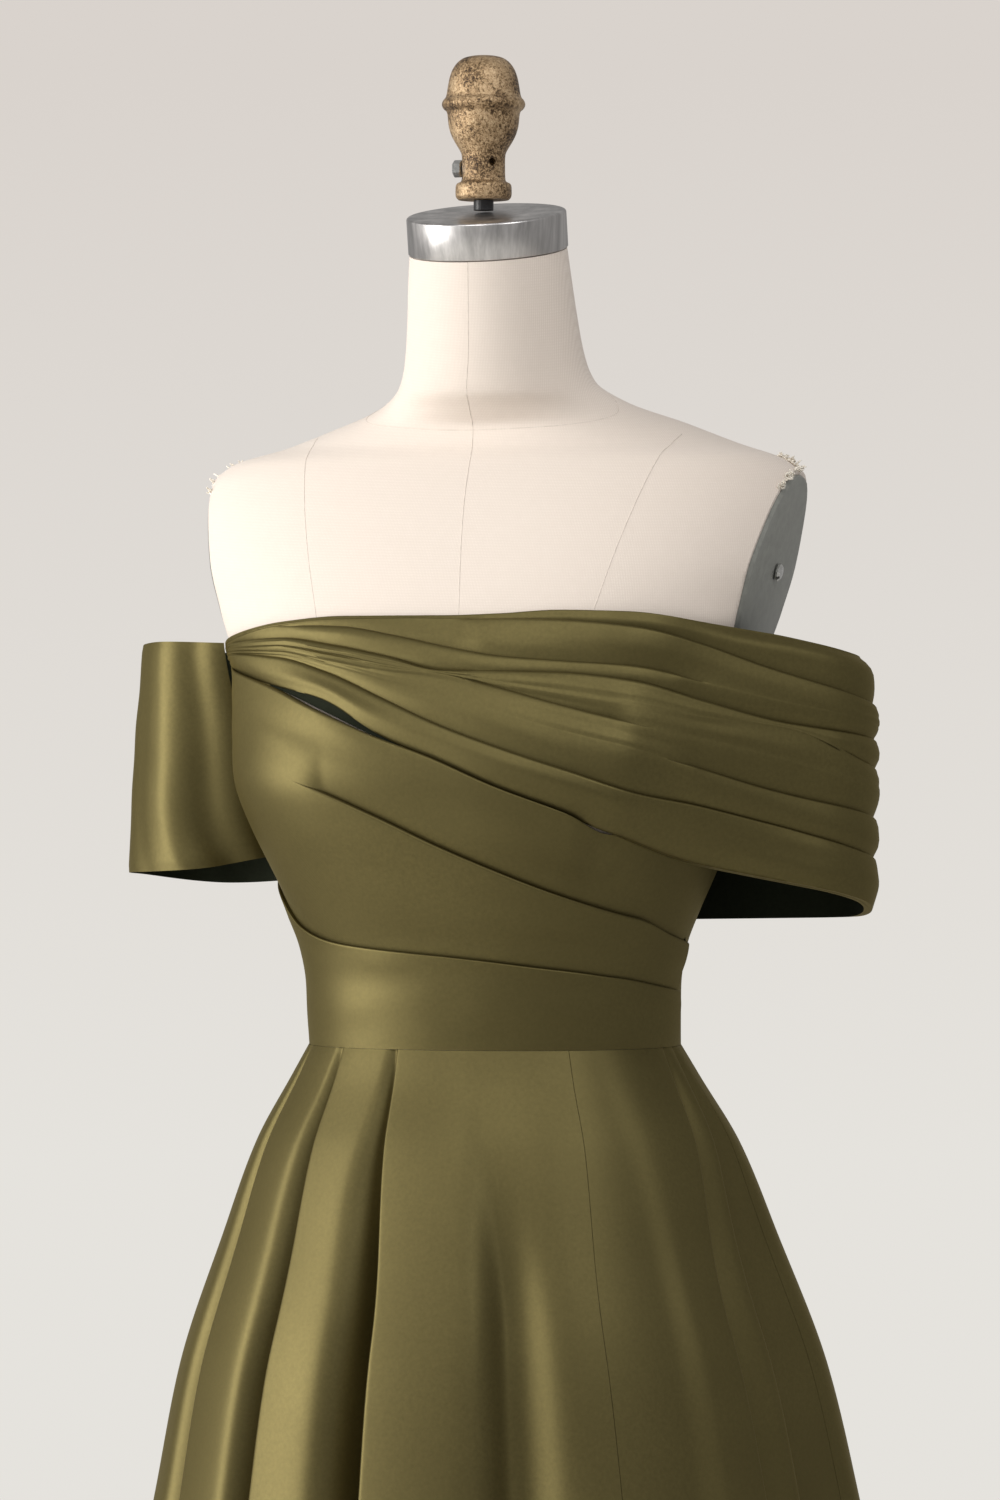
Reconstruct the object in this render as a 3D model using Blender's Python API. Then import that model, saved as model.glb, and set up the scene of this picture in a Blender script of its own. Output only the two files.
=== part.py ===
"""Off-shoulder satin dress with a pleated asymmetric drape, worn by a limbless dress form on a stand.

Metres, +Z up. The form faces -Y and its left side is +X. The origin is on the floor, on the stand's axis.
Heights called h are measured up from the waist seam, and angles go round the body from the centre front,
positive towards the form's left side.
"""

import math

import bmesh
import bpy
import numpy as np
from mathutils import Matrix, Vector

COLLECTION_NAME = "off_shoulder_dress_on_form"

# Main heights
WAIST_Z = 1.080
HEM_CLEARANCE = 0.020
SKIRT_LENGTH = WAIST_Z - HEM_CLEARANCE

# Cloth
CLOTH = 0.0015
SKIN_GAP = 0.0016
SEAM_GAP = 0.0003
FOLD_STEP = 0.0026

# Colours
OLIVE = (0.155, 0.135, 0.048, 1.0)
LINEN = (0.82, 0.70, 0.58, 1.0)
STEEL = (0.62, 0.62, 0.63, 1.0)
PLATE_GREY = (0.19, 0.20, 0.20, 1.0)
AGED_BRASS = (0.42, 0.27, 0.12, 1.0)
BLACK_STEEL = (0.03, 0.03, 0.032, 1.0)

# The covered form, one row a level: its outline is two half superellipses that meet at the middle line.
FORM_COLUMNS = ("height", "half_width", "front", "back", "middle", "squareness", "lean_deg")
FORM_ROWS = (
    (-0.310, 0.150, -0.085, 0.132, 0.022, 2.20, 0),
    (-0.210, 0.168, -0.099, 0.153, 0.022, 2.20, 0),
    (-0.120, 0.156, -0.096, 0.140, 0.022, 2.20, 0),
    (-0.060, 0.132, -0.088, 0.118, 0.020, 2.20, 0),
    (0.000, 0.1135, -0.076, 0.104, 0.019, 2.15, 0),
    (0.035, 0.1135, -0.077, 0.105, 0.019, 2.15, 0),
    (0.060, 0.1165, -0.081, 0.108, 0.020, 2.15, 0),
    (0.080, 0.1235, -0.088, 0.112, 0.021, 2.20, 0),
    (0.105, 0.1340, -0.098, 0.118, 0.023, 2.25, 0),
    (0.135, 0.1460, -0.109, 0.123, 0.025, 2.30, 0),
    (0.165, 0.1540, -0.114, 0.127, 0.027, 2.35, 0),
    (0.200, 0.1600, -0.108, 0.130, 0.030, 2.40, 0),
    (0.235, 0.1650, -0.094, 0.132, 0.034, 2.50, 0),
    (0.270, 0.1800, -0.080, 0.133, 0.038, 2.60, 0),
    (0.300, 0.1930, -0.068, 0.131, 0.042, 2.60, 0),
    (0.330, 0.1960, -0.052, 0.126, 0.046, 2.50, 0),
    (0.350, 0.1920, -0.038, 0.120, 0.050, 2.40, 0),
    (0.362, 0.1800, -0.028, 0.114, 0.050, 2.30, 0),
    (0.374, 0.1450, -0.018, 0.114, 0.062, 2.20, 1),
    (0.387, 0.1110, -0.014, 0.108, 0.060, 2.10, 3),
    (0.399, 0.0780, -0.022, 0.092, 0.042, 2.00, 5),
    (0.410, 0.0620, -0.032, 0.078, 0.024, 2.00, 7),
    (0.425, 0.0565, -0.036, 0.070, 0.018, 2.00, 9),
    (0.450, 0.0530, -0.040, 0.062, 0.012, 2.00, 11),
    (0.475, 0.0507, -0.043, 0.055, 0.006, 2.00, 12),
    (0.4923, 0.0490, -0.045, 0.051, 0.003, 2.00, 12),
)
BUST = {"height": 0.160, "angle_deg": 40.0, "rise": 0.008, "spread_deg": 24.0, "spread_h": 0.042}


def monotone_curve(knots, values, x):
    """The smooth curve through a table's points that never overshoots them."""
    knots, values, x = (np.asarray(item, float) for item in (knots, values, x))
    steps = np.diff(knots)
    rises = np.diff(values) / steps
    slopes = np.empty_like(values)
    slopes[0], slopes[-1] = rises[0], rises[-1]
    for i in range(1, len(knots) - 1):
        before, after = rises[i - 1], rises[i]
        if before * after <= 0:
            slopes[i] = 0.0
        else:
            near, far = 2 * steps[i] + steps[i - 1], steps[i] + 2 * steps[i - 1]
            slopes[i] = (near + far) / (near / before + far / after)
    i = np.clip(np.searchsorted(knots, x) - 1, 0, len(knots) - 2)
    t = np.clip((x - knots[i]) / steps[i], 0.0, 1.0)
    return (
        values[i] * (1 + 2 * t) * (1 - t) ** 2
        + values[i + 1] * t**2 * (3 - 2 * t)
        + steps[i] * (slopes[i] * t * (1 - t) ** 2 - slopes[i + 1] * t**2 * (1 - t))
    )


def table_at(columns, rows, height):
    """Every named column of a table, read at a height."""
    table = np.array(rows, float)
    return {name: float(monotone_curve(table[:, 0], table[:, k], height)) for k, name in enumerate(columns)}


def superellipse_radius(section, angles_deg):
    """Distance from the middle line's centre to the outline, in each direction."""
    angles = np.radians(angles_deg)
    n = section["squareness"]
    depth = np.where(
        np.cos(angles) >= 0, section["middle"] - section["front"], section["back"] - section["middle"]
    )
    across = np.abs(np.sin(angles) / section["half_width"]) ** n
    along = np.abs(np.cos(angles) / depth) ** n
    return (across + along) ** (-1 / n)


def bust_rise(height, angles_deg):
    level = math.exp(-(((height - BUST["height"]) / BUST["spread_h"]) ** 2))
    sides = sum(
        np.exp(-(((np.asarray(angles_deg) - side * BUST["angle_deg"]) / BUST["spread_deg"]) ** 2))
        for side in (-1, 1)
    )
    return BUST["rise"] * level * sides


def plan_points(middle, radius, angles_deg):
    angles = np.radians(angles_deg)
    return np.stack([radius * np.sin(angles), middle - radius * np.cos(angles)], axis=1)


def form_outline(height, angles_deg):
    """Plan points of the covered form at a level, before the lean."""
    section = table_at(FORM_COLUMNS, FORM_ROWS, height)
    radius = superellipse_radius(section, angles_deg) + bust_rise(height, angles_deg)
    return plan_points(section["middle"], radius, angles_deg), section


FULL_TURN = np.arange(-180.0, 180.0, 1.0)


def radius_about(points, middle, angles_deg):
    """A closed plan outline, read as a radius in each direction from (0, middle)."""
    x, y = points[:, 0], points[:, 1] - middle
    bearing = np.degrees(np.arctan2(x, -y))
    order = np.argsort(bearing)
    return np.interp(angles_deg, bearing[order], np.hypot(x, y)[order], period=360.0)


def body_radius(height, angles_deg, offset):
    """Radius of the form's outline, moved outwards by offset."""
    points, section = form_outline(height, FULL_TURN)
    ahead, behind = np.roll(points, -1, axis=0), np.roll(points, 1, axis=0)
    tangent = ahead - behind
    tangent /= np.linalg.norm(tangent, axis=1)[:, None]
    outward = np.stack([-tangent[:, 1], tangent[:, 0]], axis=1)
    centre = np.array([0.0, section["middle"]])
    outward *= np.sign(np.sum(outward * (points - centre), axis=1))[:, None]
    return radius_about(points + outward * offset, section["middle"], angles_deg)


def body_middle(height):
    return table_at(FORM_COLUMNS, FORM_ROWS, height)["middle"]


# The left arm's place inside the drape: the band of cloth runs taut round the chest and this oval.
ARM_COLUMNS = ("height", "centre_x", "centre_y", "half_width", "half_depth")
LEFT_ARM_ROWS = (
    (0.060, 0.168, 0.036, 0.058, 0.052),
    (0.120, 0.170, 0.038, 0.058, 0.052),
    (0.200, 0.171, 0.040, 0.057, 0.050),
    (0.280, 0.168, 0.042, 0.057, 0.048),
)
RIGHT_ARM_ROWS = (
    (0.090, -0.190, 0.050, 0.058, 0.062),
    (0.160, -0.189, 0.048, 0.055, 0.058),
    (0.262, -0.186, 0.046, 0.050, 0.052),
)


def arm_outline(rows, height, angles_deg, offset):
    arm = table_at(ARM_COLUMNS, rows, height)
    angles = np.radians(angles_deg)
    x = arm["centre_x"] + (arm["half_width"] + offset) * np.sin(angles)
    y = arm["centre_y"] - (arm["half_depth"] + offset) * np.cos(angles)
    return np.stack([x, y], axis=1)


def convex_outline(points):
    """Convex outline round plan points, with points added along its straight runs."""
    ordered = sorted(map(tuple, points))

    def half(run):
        kept = []
        for point in run:
            while len(kept) > 1:
                (ax, ay), (bx, by) = kept[-2], kept[-1]
                if (bx - ax) * (point[1] - ay) - (by - ay) * (point[0] - ax) > 0:
                    break
                kept.pop()
            kept.append(point)
        return kept[:-1]

    corners = np.array(half(ordered) + half(ordered[::-1]))
    following = np.roll(corners, -1, axis=0)
    spacing = 0.002
    runs = [
        start + (end - start) * np.linspace(0, 1, max(2, int(np.linalg.norm(end - start) / spacing)))[:-1, None]
        for start, end in zip(corners, following)
    ]
    return np.concatenate(runs)


def bodice_radius(height, angles_deg, offset):
    """Radius of cloth drawn taut round the chest."""
    middle = body_middle(height)
    chest = plan_points(middle, body_radius(height, FULL_TURN, offset), FULL_TURN)
    return radius_about(convex_outline(chest), middle, angles_deg)


def band_radius(height, angles_deg, offset):
    """Radius of cloth drawn taut round the chest and the left arm's place together."""
    middle = body_middle(height)
    chest = plan_points(middle, body_radius(height, FULL_TURN, offset), FULL_TURN)
    arm = arm_outline(LEFT_ARM_ROWS, height, FULL_TURN, offset)
    return radius_about(convex_outline(np.concatenate([chest, arm])), middle, angles_deg)


FIELD_STEP = 0.0025
FIELD_OFFSET = 0.006


def surface_field(radius_of):
    """A surface's radii on a fine grid of levels and angles, on it and a little outside it."""
    levels = np.arange(-0.010, 0.300, FIELD_STEP)
    near = np.array([radius_of(level, FULL_TURN, 0.0) for level in levels])
    far = np.array([radius_of(level, FULL_TURN, FIELD_OFFSET) for level in levels])
    middles = np.array([body_middle(level) for level in levels])
    return {"levels": levels, "near": near, "far": far, "middles": middles}


def field_radius(field, heights, angles_deg, offsets):
    row = np.clip((heights - field["levels"][0]) / FIELD_STEP, 0, len(field["levels"]) - 1.001)
    column = (angles_deg + 180.0) % 360.0
    i, j = row.astype(int), column.astype(int)
    u, v = row - i, column - j
    after = (j + 1) % 360

    def read(table):
        upper = table[i, j] * (1 - v) + table[i, after] * v
        lower = table[i + 1, j] * (1 - v) + table[i + 1, after] * v
        return upper * (1 - u) + lower * u

    near = read(field["near"])
    return near + (read(field["far"]) - near) * offsets / FIELD_OFFSET


def field_points(field, heights, angles_deg, offsets):
    """Points on a surface at each height and angle, moved out by offsets."""
    heights, angles_deg, offsets = np.broadcast_arrays(heights, angles_deg, offsets)
    radius = field_radius(field, heights, angles_deg, offsets)
    middle = np.interp(heights, field["levels"], field["middles"])
    angles = np.radians(angles_deg)
    return np.stack([radius * np.sin(angles), middle - radius * np.cos(angles), WAIST_Z + heights], axis=-1)


# Building closed pieces


def new_collection():
    for item in list(bpy.data.objects):
        bpy.data.objects.remove(item, do_unlink=True)
    made = bpy.data.collections.new(COLLECTION_NAME)
    bpy.context.scene.collection.children.link(made)
    cutters = bpy.data.collections.new("cutters")
    bpy.context.scene.collection.children.link(cutters)
    return made, cutters


def material(name, colour, roughness, metallic=0.0):
    made = bpy.data.materials.new(name)
    made.use_nodes = True
    shader = made.node_tree.nodes["Principled BSDF"]
    shader.inputs["Base Color"].default_value = colour
    shader.inputs["Roughness"].default_value = roughness
    shader.inputs["Metallic"].default_value = metallic
    return made


def add_object(name, mesh, finish, collection, smooth_deg=35.0):
    made = bpy.data.objects.new(name, mesh)
    collection.objects.link(made)
    mesh.materials.append(finish)
    mesh.shade_smooth()
    mesh.set_sharp_from_angle(angle=math.radians(smooth_deg))
    return made


def grid_faces(rows, columns, first=0):
    faces = []
    for i in range(rows - 1):
        for j in range(columns - 1):
            a = first + i * columns + j
            faces.append((a, a + columns, a + columns + 1, a + 1))
    return faces


def wall_mesh(name, outer, inner):
    """A closed wall between two grids of points with the same columns. The inner one may have fewer rows."""
    outer_rows, columns = outer.shape[:2]
    inner_rows = inner.shape[0]
    count = outer_rows * columns
    faces = grid_faces(outer_rows, columns) + grid_faces(inner_rows, columns, count)
    outer_last, inner_last = (outer_rows - 1) * columns, count + (inner_rows - 1) * columns
    for j in range(columns - 1):
        faces.append((j, j + 1, count + j + 1, count + j))
        faces.append((outer_last + j, outer_last + j + 1, inner_last + j + 1, inner_last + j))
    for j in (0, columns - 1):
        end = [i * columns + j for i in range(outer_rows)]
        if inner_rows == outer_rows:
            pairs = zip(end, end[1:])
            faces.extend((a, b, b + count, a + count) for a, b in pairs)
        else:
            end += [count + i * columns + j for i in range(inner_rows - 1, -1, -1)]
            faces.append(tuple(end))
    mesh = bpy.data.meshes.new(name)
    points = np.concatenate([outer.reshape(-1, 3), inner.reshape(-1, 3)])
    mesh.from_pydata([tuple(p) for p in points], [], faces)
    face_outwards(mesh)
    return mesh


def face_outwards(mesh):
    work = bmesh.new()
    work.from_mesh(mesh)
    bmesh.ops.recalc_face_normals(work, faces=work.faces)
    work.to_mesh(mesh)
    work.free()


def drawn_in(points, top=True, bottom=True, first=True, last=True):
    """A grid of points with its chosen edges moved in by half a seam gap."""
    points = points.copy()

    def pull(edge, neighbour):
        step = points[neighbour] - points[edge]
        points[edge] += step * (SEAM_GAP / 2 / np.linalg.norm(step, axis=-1, keepdims=True))

    if top:
        pull(np.s_[0], np.s_[1])
    if bottom:
        pull(np.s_[-1], np.s_[-2])
    if first:
        pull(np.s_[:, 0], np.s_[:, 1])
    if last:
        pull(np.s_[:, -1], np.s_[:, -2])
    return points


# Folds of the bodice, from the top down. Each row names a fold edge, the angles between which it stands proud of
# the strip above, and its height above the waist at every station.
DRAPE_STATIONS_DEG = (-75, -60, -45, -30, -15, 0, 15, 30, 45, 60, 75, 90, 105, 145)
FOLD_COLUMNS = ("name", "proud_from_deg", "proud_to_deg", "heights_mm")
DRAPE_FOLDS = (
    ("neckline", -75, 170, (246, 254, 261, 264, 264, 264, 265, 267, 266, 260, 253, 241, 236, 232)),
    ("first_sleeve", 18, 170, (245, 253, 260, 262.5, 262.5, 262, 262, 261, 257, 246, 229, 212, 204, 200)),
    ("first_chest", -48, 62, (244, 252, 258.5, 257.5, 252, 245, 239, 236, 233, 224, 212, 200, 192, 188)),
    ("second", -70, 170, (243, 249, 251, 246, 239, 231, 230, 229, 224, 212, 199, 190, 184, 181)),
    ("second_tuck", 76, 170, (242, 247, 248, 243, 236, 230, 226, 221, 215, 206, 197, 174, 165, 161)),
    ("third_chest", 0, 50, (241, 245.5, 245.5, 240, 233, 229, 220, 209, 198, 189, 177, 160, 152, 148)),
    ("third_sleeve", 50, 170, (240, 243.5, 242.5, 235, 226, 217, 206, 194, 183, 170, 156, 143, 134, 130)),
    ("fourth", -70, 170, (239, 241.5, 239, 229, 214, 198, 184, 170, 156, 148, 136, 119, 110, 106)),
    ("lower_edge", -75, 170, (237, 230, 221, 207, 191, 177, 160, 145, 130, 116, 105, 91, 79, 75)),
)
FRONT_STATIONS_DEG = (-90, -75, -60, -45, -30, -15, 0, 15, 30, 43, 52, 60, 75, 90)
FRONT_FOLDS = (
    ("upper_edge", -70, 42, (243, 237, 230, 221, 207, 191, 177, 160, 145, 131.5, 190, 236, 238, 235)),
    ("bust", -36, 120, (185, 183, 180, 175, 160, 142, 124, 109, 96, 87, 82, 78.5, 69, 63)),
    ("waist_panel", -120, 120, (108, 94, 73, 64.5, 61, 58.5, 56, 53, 49.5, 46.5, 44, 42, 37, 33)),
)
WAIST_PANEL_FOLDS = (FRONT_FOLDS[-1], ("waist", -120, 120, (0,) * 14))
FOLD_FADE_DEG = 10.0
BACK_TOP_MM = {"side": 243, "left_side": 235, "middle": 232}


def share_between(start, end, angles_deg):
    """1 between two angles, falling smoothly to 0 at both."""
    rise = np.clip((angles_deg - start) / FOLD_FADE_DEG, 0, 1)
    fall = np.clip((end - angles_deg) / FOLD_FADE_DEG, 0, 1)
    share = np.minimum(rise, fall)
    return share * share * (3 - 2 * share)


def fold_rows(folds, stations, angles_deg, rows_in_strip, first_rise):
    """Heights and reliefs, row by row down the cloth. Each strip lies over the one above it and sinks towards
    the next edge."""
    lines = [monotone_curve(stations, np.array(row[3]) / 1000, angles_deg) for row in folds]
    shares = [share_between(row[1], row[2], angles_deg) for row in folds]
    relief = first_rise * shares[0]
    heights, reliefs = [], []
    for k, rows in enumerate(rows_in_strip):
        sunk = relief * (1 - shares[k + 1]) * 0.9
        for i in range(rows + 1):
            f = i / rows
            heights.append(lines[k] + (lines[k + 1] - lines[k]) * f)
            reliefs.append(relief * (1 - f) ** 1.5 + sunk * (1 - (1 - f) ** 1.5))
        if k < len(rows_in_strip) - 1:
            heights[-1] = heights[-1] + np.minimum(0.0004, (lines[k] - lines[k + 1]) * 0.3)
        relief = shares[k + 1] + (1 - shares[k + 1]) * sunk
    return np.array(heights), np.array(reliefs) * FOLD_STEP


def panel_wall(name, field, folds, stations, angles_deg, rows_in_strip, first_rise, lift, inner_step=1, **edges):
    """A panel with folds raised in its outer face over a plain inside, which has one row at each fold."""
    heights, reliefs = fold_rows(folds, stations, angles_deg, rows_in_strip, first_rise)
    base = SKIN_GAP + lift
    outer = drawn_in(field_points(field, heights, angles_deg, base + CLOTH + reliefs), **edges)
    inner = drawn_in(field_points(field, heights, angles_deg, base), **edges)
    starts = np.cumsum((0,) + tuple(rows + 1 for rows in rows_in_strip))
    kept = [i for start, rows in zip(starts, rows_in_strip) for i in range(start, start + rows, inner_step)]
    kept.append(len(inner) - 1)
    return wall_mesh(name, outer, inner[kept])


def even_columns(field, height, start_deg, end_deg, spacing):
    """Angles spaced evenly along a surface's outline at a level."""
    angles = np.linspace(start_deg, end_deg, 721)
    points = field_points(field, height, angles, 0.0)
    run = np.concatenate([[0], np.cumsum(np.linalg.norm(np.diff(points, axis=0), axis=1))])
    count = int(round(run[-1] / spacing)) + 1
    return np.interp(np.linspace(0, run[-1], count), run, angles)


DRAPE_LIFT = 0.0024
DRAPE_LIFT_FROM_DEG = 24.0
DRAPE_LIFT_TO_DEG = 41.0
DRAPE_END_DEG = 138.0


def build_drape(band):
    angles = even_columns(band, 0.180, -75, DRAPE_END_DEG, 0.0125)
    t = np.clip((angles - DRAPE_LIFT_FROM_DEG) / (DRAPE_LIFT_TO_DEG - DRAPE_LIFT_FROM_DEG), 0, 1)
    lift = DRAPE_LIFT * t * t * (3 - 2 * t)
    rows = (2, 1, 1, 1, 1, 1, 2, 2)
    return panel_wall(
        "upper_drape", band, DRAPE_FOLDS, DRAPE_STATIONS_DEG, angles, rows, 0.4, lift, top=False
    )


def build_bodice_front(bodice):
    angles = np.concatenate([
        even_columns(bodice, 0.120, -90, 40, 0.0130)[:-1],
        np.array([40, 43, 46, 50, 55, 60]),
        even_columns(bodice, 0.120, 60, 90, 0.0160)[1:],
    ])
    return panel_wall("bodice_front", bodice, FRONT_FOLDS, FRONT_STATIONS_DEG, angles, (6, 6), 1.0, 0.0)


def build_waist_panel(bodice):
    angles = even_columns(bodice, 0.030, -90, 90, 0.0130)
    return panel_wall("waist_panel_front", bodice, WAIST_PANEL_FOLDS, FRONT_STATIONS_DEG, angles, (4,), 1.0, 0.0)


def build_bodice_back(name, bodice, start_deg, end_deg, side_top):
    angles = even_columns(bodice, 0.120, start_deg, end_deg, 0.0150)
    stations = (90, 105, 150, 180)
    middle = BACK_TOP_MM["middle"]
    tops = (side_top, (side_top + middle) / 2, middle, middle)
    if start_deg < 0:
        stations = tuple(-angle for angle in stations[::-1])
        tops = tops[::-1]
    folds = (("top", 0, 0, tops), ("waist", 0, 0, (0, 0, 0, 0)))
    return panel_wall(name, bodice, folds, stations, angles, (12,), 0.0, 0.0)


SLEEVE_COLUMNS = ("share", "top", "hem")
SLEEVE_ROWS = (
    (0.00, 0.2500, 0.1165),
    (0.20, 0.2510, 0.1080),
    (0.50, 0.2475, 0.1040),
    (0.70, 0.2460, 0.0970),
    (0.88, 0.2450, 0.0970),
    (1.00, 0.2440, 0.1100),
)


def sleeve_reach(bodice, height, sign):
    """How far round the right arm's oval the sleeve runs, at a level, before it meets the bodice."""
    turns = -90.0 + sign * np.arange(0.0, 200.0, 0.5)
    clear = np.ones(len(turns), bool)
    for offset in (0.0, CLOTH):
        x, y = arm_outline(RIGHT_ARM_ROWS, height, turns, offset).T
        y = y - body_middle(height)
        bearing = np.degrees(np.arctan2(x, -y))
        wall = field_radius(bodice, np.full(len(turns), height), bearing, SKIN_GAP + CLOTH + 0.0006)
        clear &= np.hypot(x, y) > wall
    return turns[np.argmin(clear) - 1]


def build_sleeve_right(bodice):
    shares = np.linspace(0, 1, 23)
    rows = 8
    top, hem = (monotone_curve(*np.array(SLEEVE_ROWS).T[[0, k]], shares) for k in (1, 2))
    points = {0.0: [], CLOTH: []}
    for f in np.linspace(0, 1, rows):
        heights = top + (hem - top) * f
        for offset, grid in points.items():
            line = []
            for share, height in zip(shares, heights):
                front, back = sleeve_reach(bodice, height, 1), sleeve_reach(bodice, height, -1)
                turn = front + (back - front) * share
                x, y = arm_outline(RIGHT_ARM_ROWS, height, np.array([turn]), offset)[0]
                line.append((x, y, WAIST_Z + height))
            grid.append(line)
    return wall_mesh("sleeve_right", np.array(points[CLOTH]), np.array(points[0.0]))


# The skirt: its outline at each level, and its folds as dips that travel round as they fall
SKIRT_COLUMNS = ("height", "half_width", "front", "back", "middle", "squareness")
SKIRT_ROWS = (
    (-1.060, 0.3780, -0.302, 0.414, 0.056, 2.00),
    (-0.800, 0.3250, -0.253, 0.361, 0.054, 2.00),
    (-0.500, 0.2650, -0.198, 0.298, 0.050, 2.00),
    (-0.280, 0.2210, -0.161, 0.247, 0.043, 2.00),
    (-0.200, 0.2035, -0.150, 0.222, 0.036, 2.00),
    (-0.120, 0.1750, -0.128, 0.186, 0.029, 2.00),
    (-0.060, 0.1515, -0.106, 0.154, 0.024, 2.05),
    (-0.020, 0.1283, -0.087, 0.123, 0.020, 2.10),
    (0.000, 0.1166, -0.0791, 0.1071, 0.019, 2.15),
)
HIP_H = -0.170
OPEN_H = -0.060
SKIRT_FOLD_COLUMNS = (
    "name", "waist_deg", "hip_deg", "hem_deg", "waist_depth", "open_depth", "hip_depth", "hem_depth", "near_deg",
    "far_deg",
)
SKIRT_FOLDS = (
    ("back_right_1", -168, -168, -168, 0.0004, 0.0020, 0.006, 0.024, 7.0, 7.0),
    ("back_right_2", -144, -143, -142, 0.0004, 0.0030, 0.009, 0.028, 6.0, 6.0),
    ("back_right_3", -119, -117, -115, 0.0004, 0.0025, 0.007, 0.026, 6.0, 6.0),
    ("side_right", -93, -88, -84, 0.0004, 0.0020, 0.006, 0.024, 5.0, 5.0),
    ("pleat_0", -67, -58.5, -50, 0.0010, 0.0060, 0.011, 0.024, 3.2, 2.2),
    ("pleat_1", -45, -35.5, -33, 0.0012, 0.0090, 0.017, 0.032, 4.2, 1.8),
    ("pleat_2", -21.5, -12.0, -11, 0.0014, 0.0110, 0.025, 0.040, 5.4, 1.8),
    ("valley", 9, 13, 13, 0.0004, 0.0025, 0.012, 0.030, 7.5, 5.0),
    ("beside_seam", 50, 50, 50, 0.0003, 0.0010, 0.003, 0.018, 5.0, 5.0),
    ("pleat_4", 79, 65, 65.7, 0.0008, 0.0070, 0.013, 0.026, 1.8, 4.6),
    ("side_left", 86, 79.5, 81, 0.0008, 0.0040, 0.008, 0.022, 2.4, 4.0),
    ("back_left_3", 116, 113, 112, 0.0004, 0.0025, 0.008, 0.026, 6.0, 6.0),
    ("back_left_2", 140, 139, 138, 0.0004, 0.0030, 0.009, 0.028, 6.0, 6.0),
    ("back_left_1", 164, 164, 164, 0.0004, 0.0020, 0.006, 0.024, 7.0, 7.0),
)
SKIRT_LEVELS = (0.0, -0.010, -0.026, -0.052, -0.090, -0.150, -0.230, -0.340, -0.520, -0.780, -1.060)
SKIRT_SEAMS = {"front": (40.6, 35.7, 37.0), "left": (90.0, 92.0, 92.0), "right": (-90.0, -84.5, -80.0)}
SKIRT_PANELS = (
    ("skirt_front_right", -90.0, 40.6),
    ("skirt_front_left", 40.6, 90.0),
    ("skirt_back_left", 90.0, 180.0),
    ("skirt_back_right", 180.0, 270.0),
)


def travel(waist, hip, hem, height):
    return float(monotone_curve((hem_h, HIP_H, 0.0), (hem, hip, waist), height))


hem_h = -SKIRT_LENGTH


def skirt_direction(places_deg, height):
    """Where a place named by its angle at the waist has moved to, at a level."""
    marks = [(row[1], travel(*row[1:4], height)) for row in SKIRT_FOLDS]
    marks += [(seam[0], travel(*seam, height)) for seam in SKIRT_SEAMS.values()]
    marks = np.array(sorted(marks))
    full = np.concatenate([marks - 360.0, marks, marks + 360.0])
    return monotone_curve(full[:, 0], full[:, 1], places_deg)


def skirt_dip(places_deg, height):
    dip = np.zeros_like(places_deg)
    for _, place, _, _, waist, opened, hip, hem, near, far in SKIRT_FOLDS:
        depth = float(monotone_curve((hem_h, HIP_H, OPEN_H, 0.0), (hem, hip, opened, waist), height))
        away = (places_deg - place + 180.0) % 360.0 - 180.0
        width = np.where(away < 0, near, far)
        dip += depth * np.exp(-np.abs(away / width) ** 1.7)
    return dip


def skirt_points(places_deg, heights):
    """Points of the skirt's outer face, one row a level."""
    rows = []
    for height in heights:
        section = table_at(SKIRT_COLUMNS, SKIRT_ROWS, height)
        angles = skirt_direction(places_deg, height)
        wrapped = (angles + 180.0) % 360.0 - 180.0
        radius = superellipse_radius(section, wrapped) - skirt_dip(places_deg, height)
        plan = plan_points(section["middle"], radius, angles)
        rows.append(np.column_stack([plan, np.full(len(plan), WAIST_Z + height)]))
    return np.array(rows)


def skirt_places(start_deg, end_deg):
    """Columns of a panel: close together at folds, wide between them."""
    places = [start_deg, end_deg]
    for row in SKIRT_FOLDS:
        for turn in (0.0, 360.0):
            near, far = row[-2:]
            narrow = min(near, far) < 4.5
            shares = (-2.2, -1.1, -0.5, 0.0, 0.5, 1.1, 2.2) if narrow else (-1.9, -0.8, 0.0, 0.8, 1.9)
            for share in shares:
                width = near if share < 0 else far
                places.append(row[1] + turn + share * width)
    places = sorted(place for place in places if start_deg <= place <= end_deg)
    kept = [start_deg]
    for place in places:
        last = kept[-1]
        gap = place - last
        if gap > 7.0:
            steps = int(gap // 5.5)
            kept.extend(last + gap * (i + 1) / (steps + 1) for i in range(steps))
        if place - kept[-1] > 1.1:
            kept.append(place)
    if end_deg - kept[-1] < 1.1:
        kept[-1] = end_deg
    else:
        kept.append(end_deg)
    return np.array(kept)


def build_skirt_panel(name, start_deg, end_deg):
    places = skirt_places(start_deg, end_deg)
    heights = np.array(SKIRT_LEVELS)
    outer = skirt_points(places, heights)
    reach = 0.02
    across = skirt_points(places + reach, heights) - skirt_points(places - reach, heights)
    low, high = np.clip(heights - 0.001, -SKIRT_LENGTH, 0), np.clip(heights + 0.001, -SKIRT_LENGTH, 0)
    along = skirt_points(places, high) - skirt_points(places, low)
    normal = np.cross(across, along)
    normal /= np.linalg.norm(normal, axis=-1, keepdims=True)
    inner = outer - normal * CLOTH
    inner[..., 2] = outer[..., 2]
    return wall_mesh(name, drawn_in(outer, bottom=False), drawn_in(inner, bottom=False))


# The form, its neck and its stand


CLOSE_LEVELS_H = (0.060, 0.260)


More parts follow.
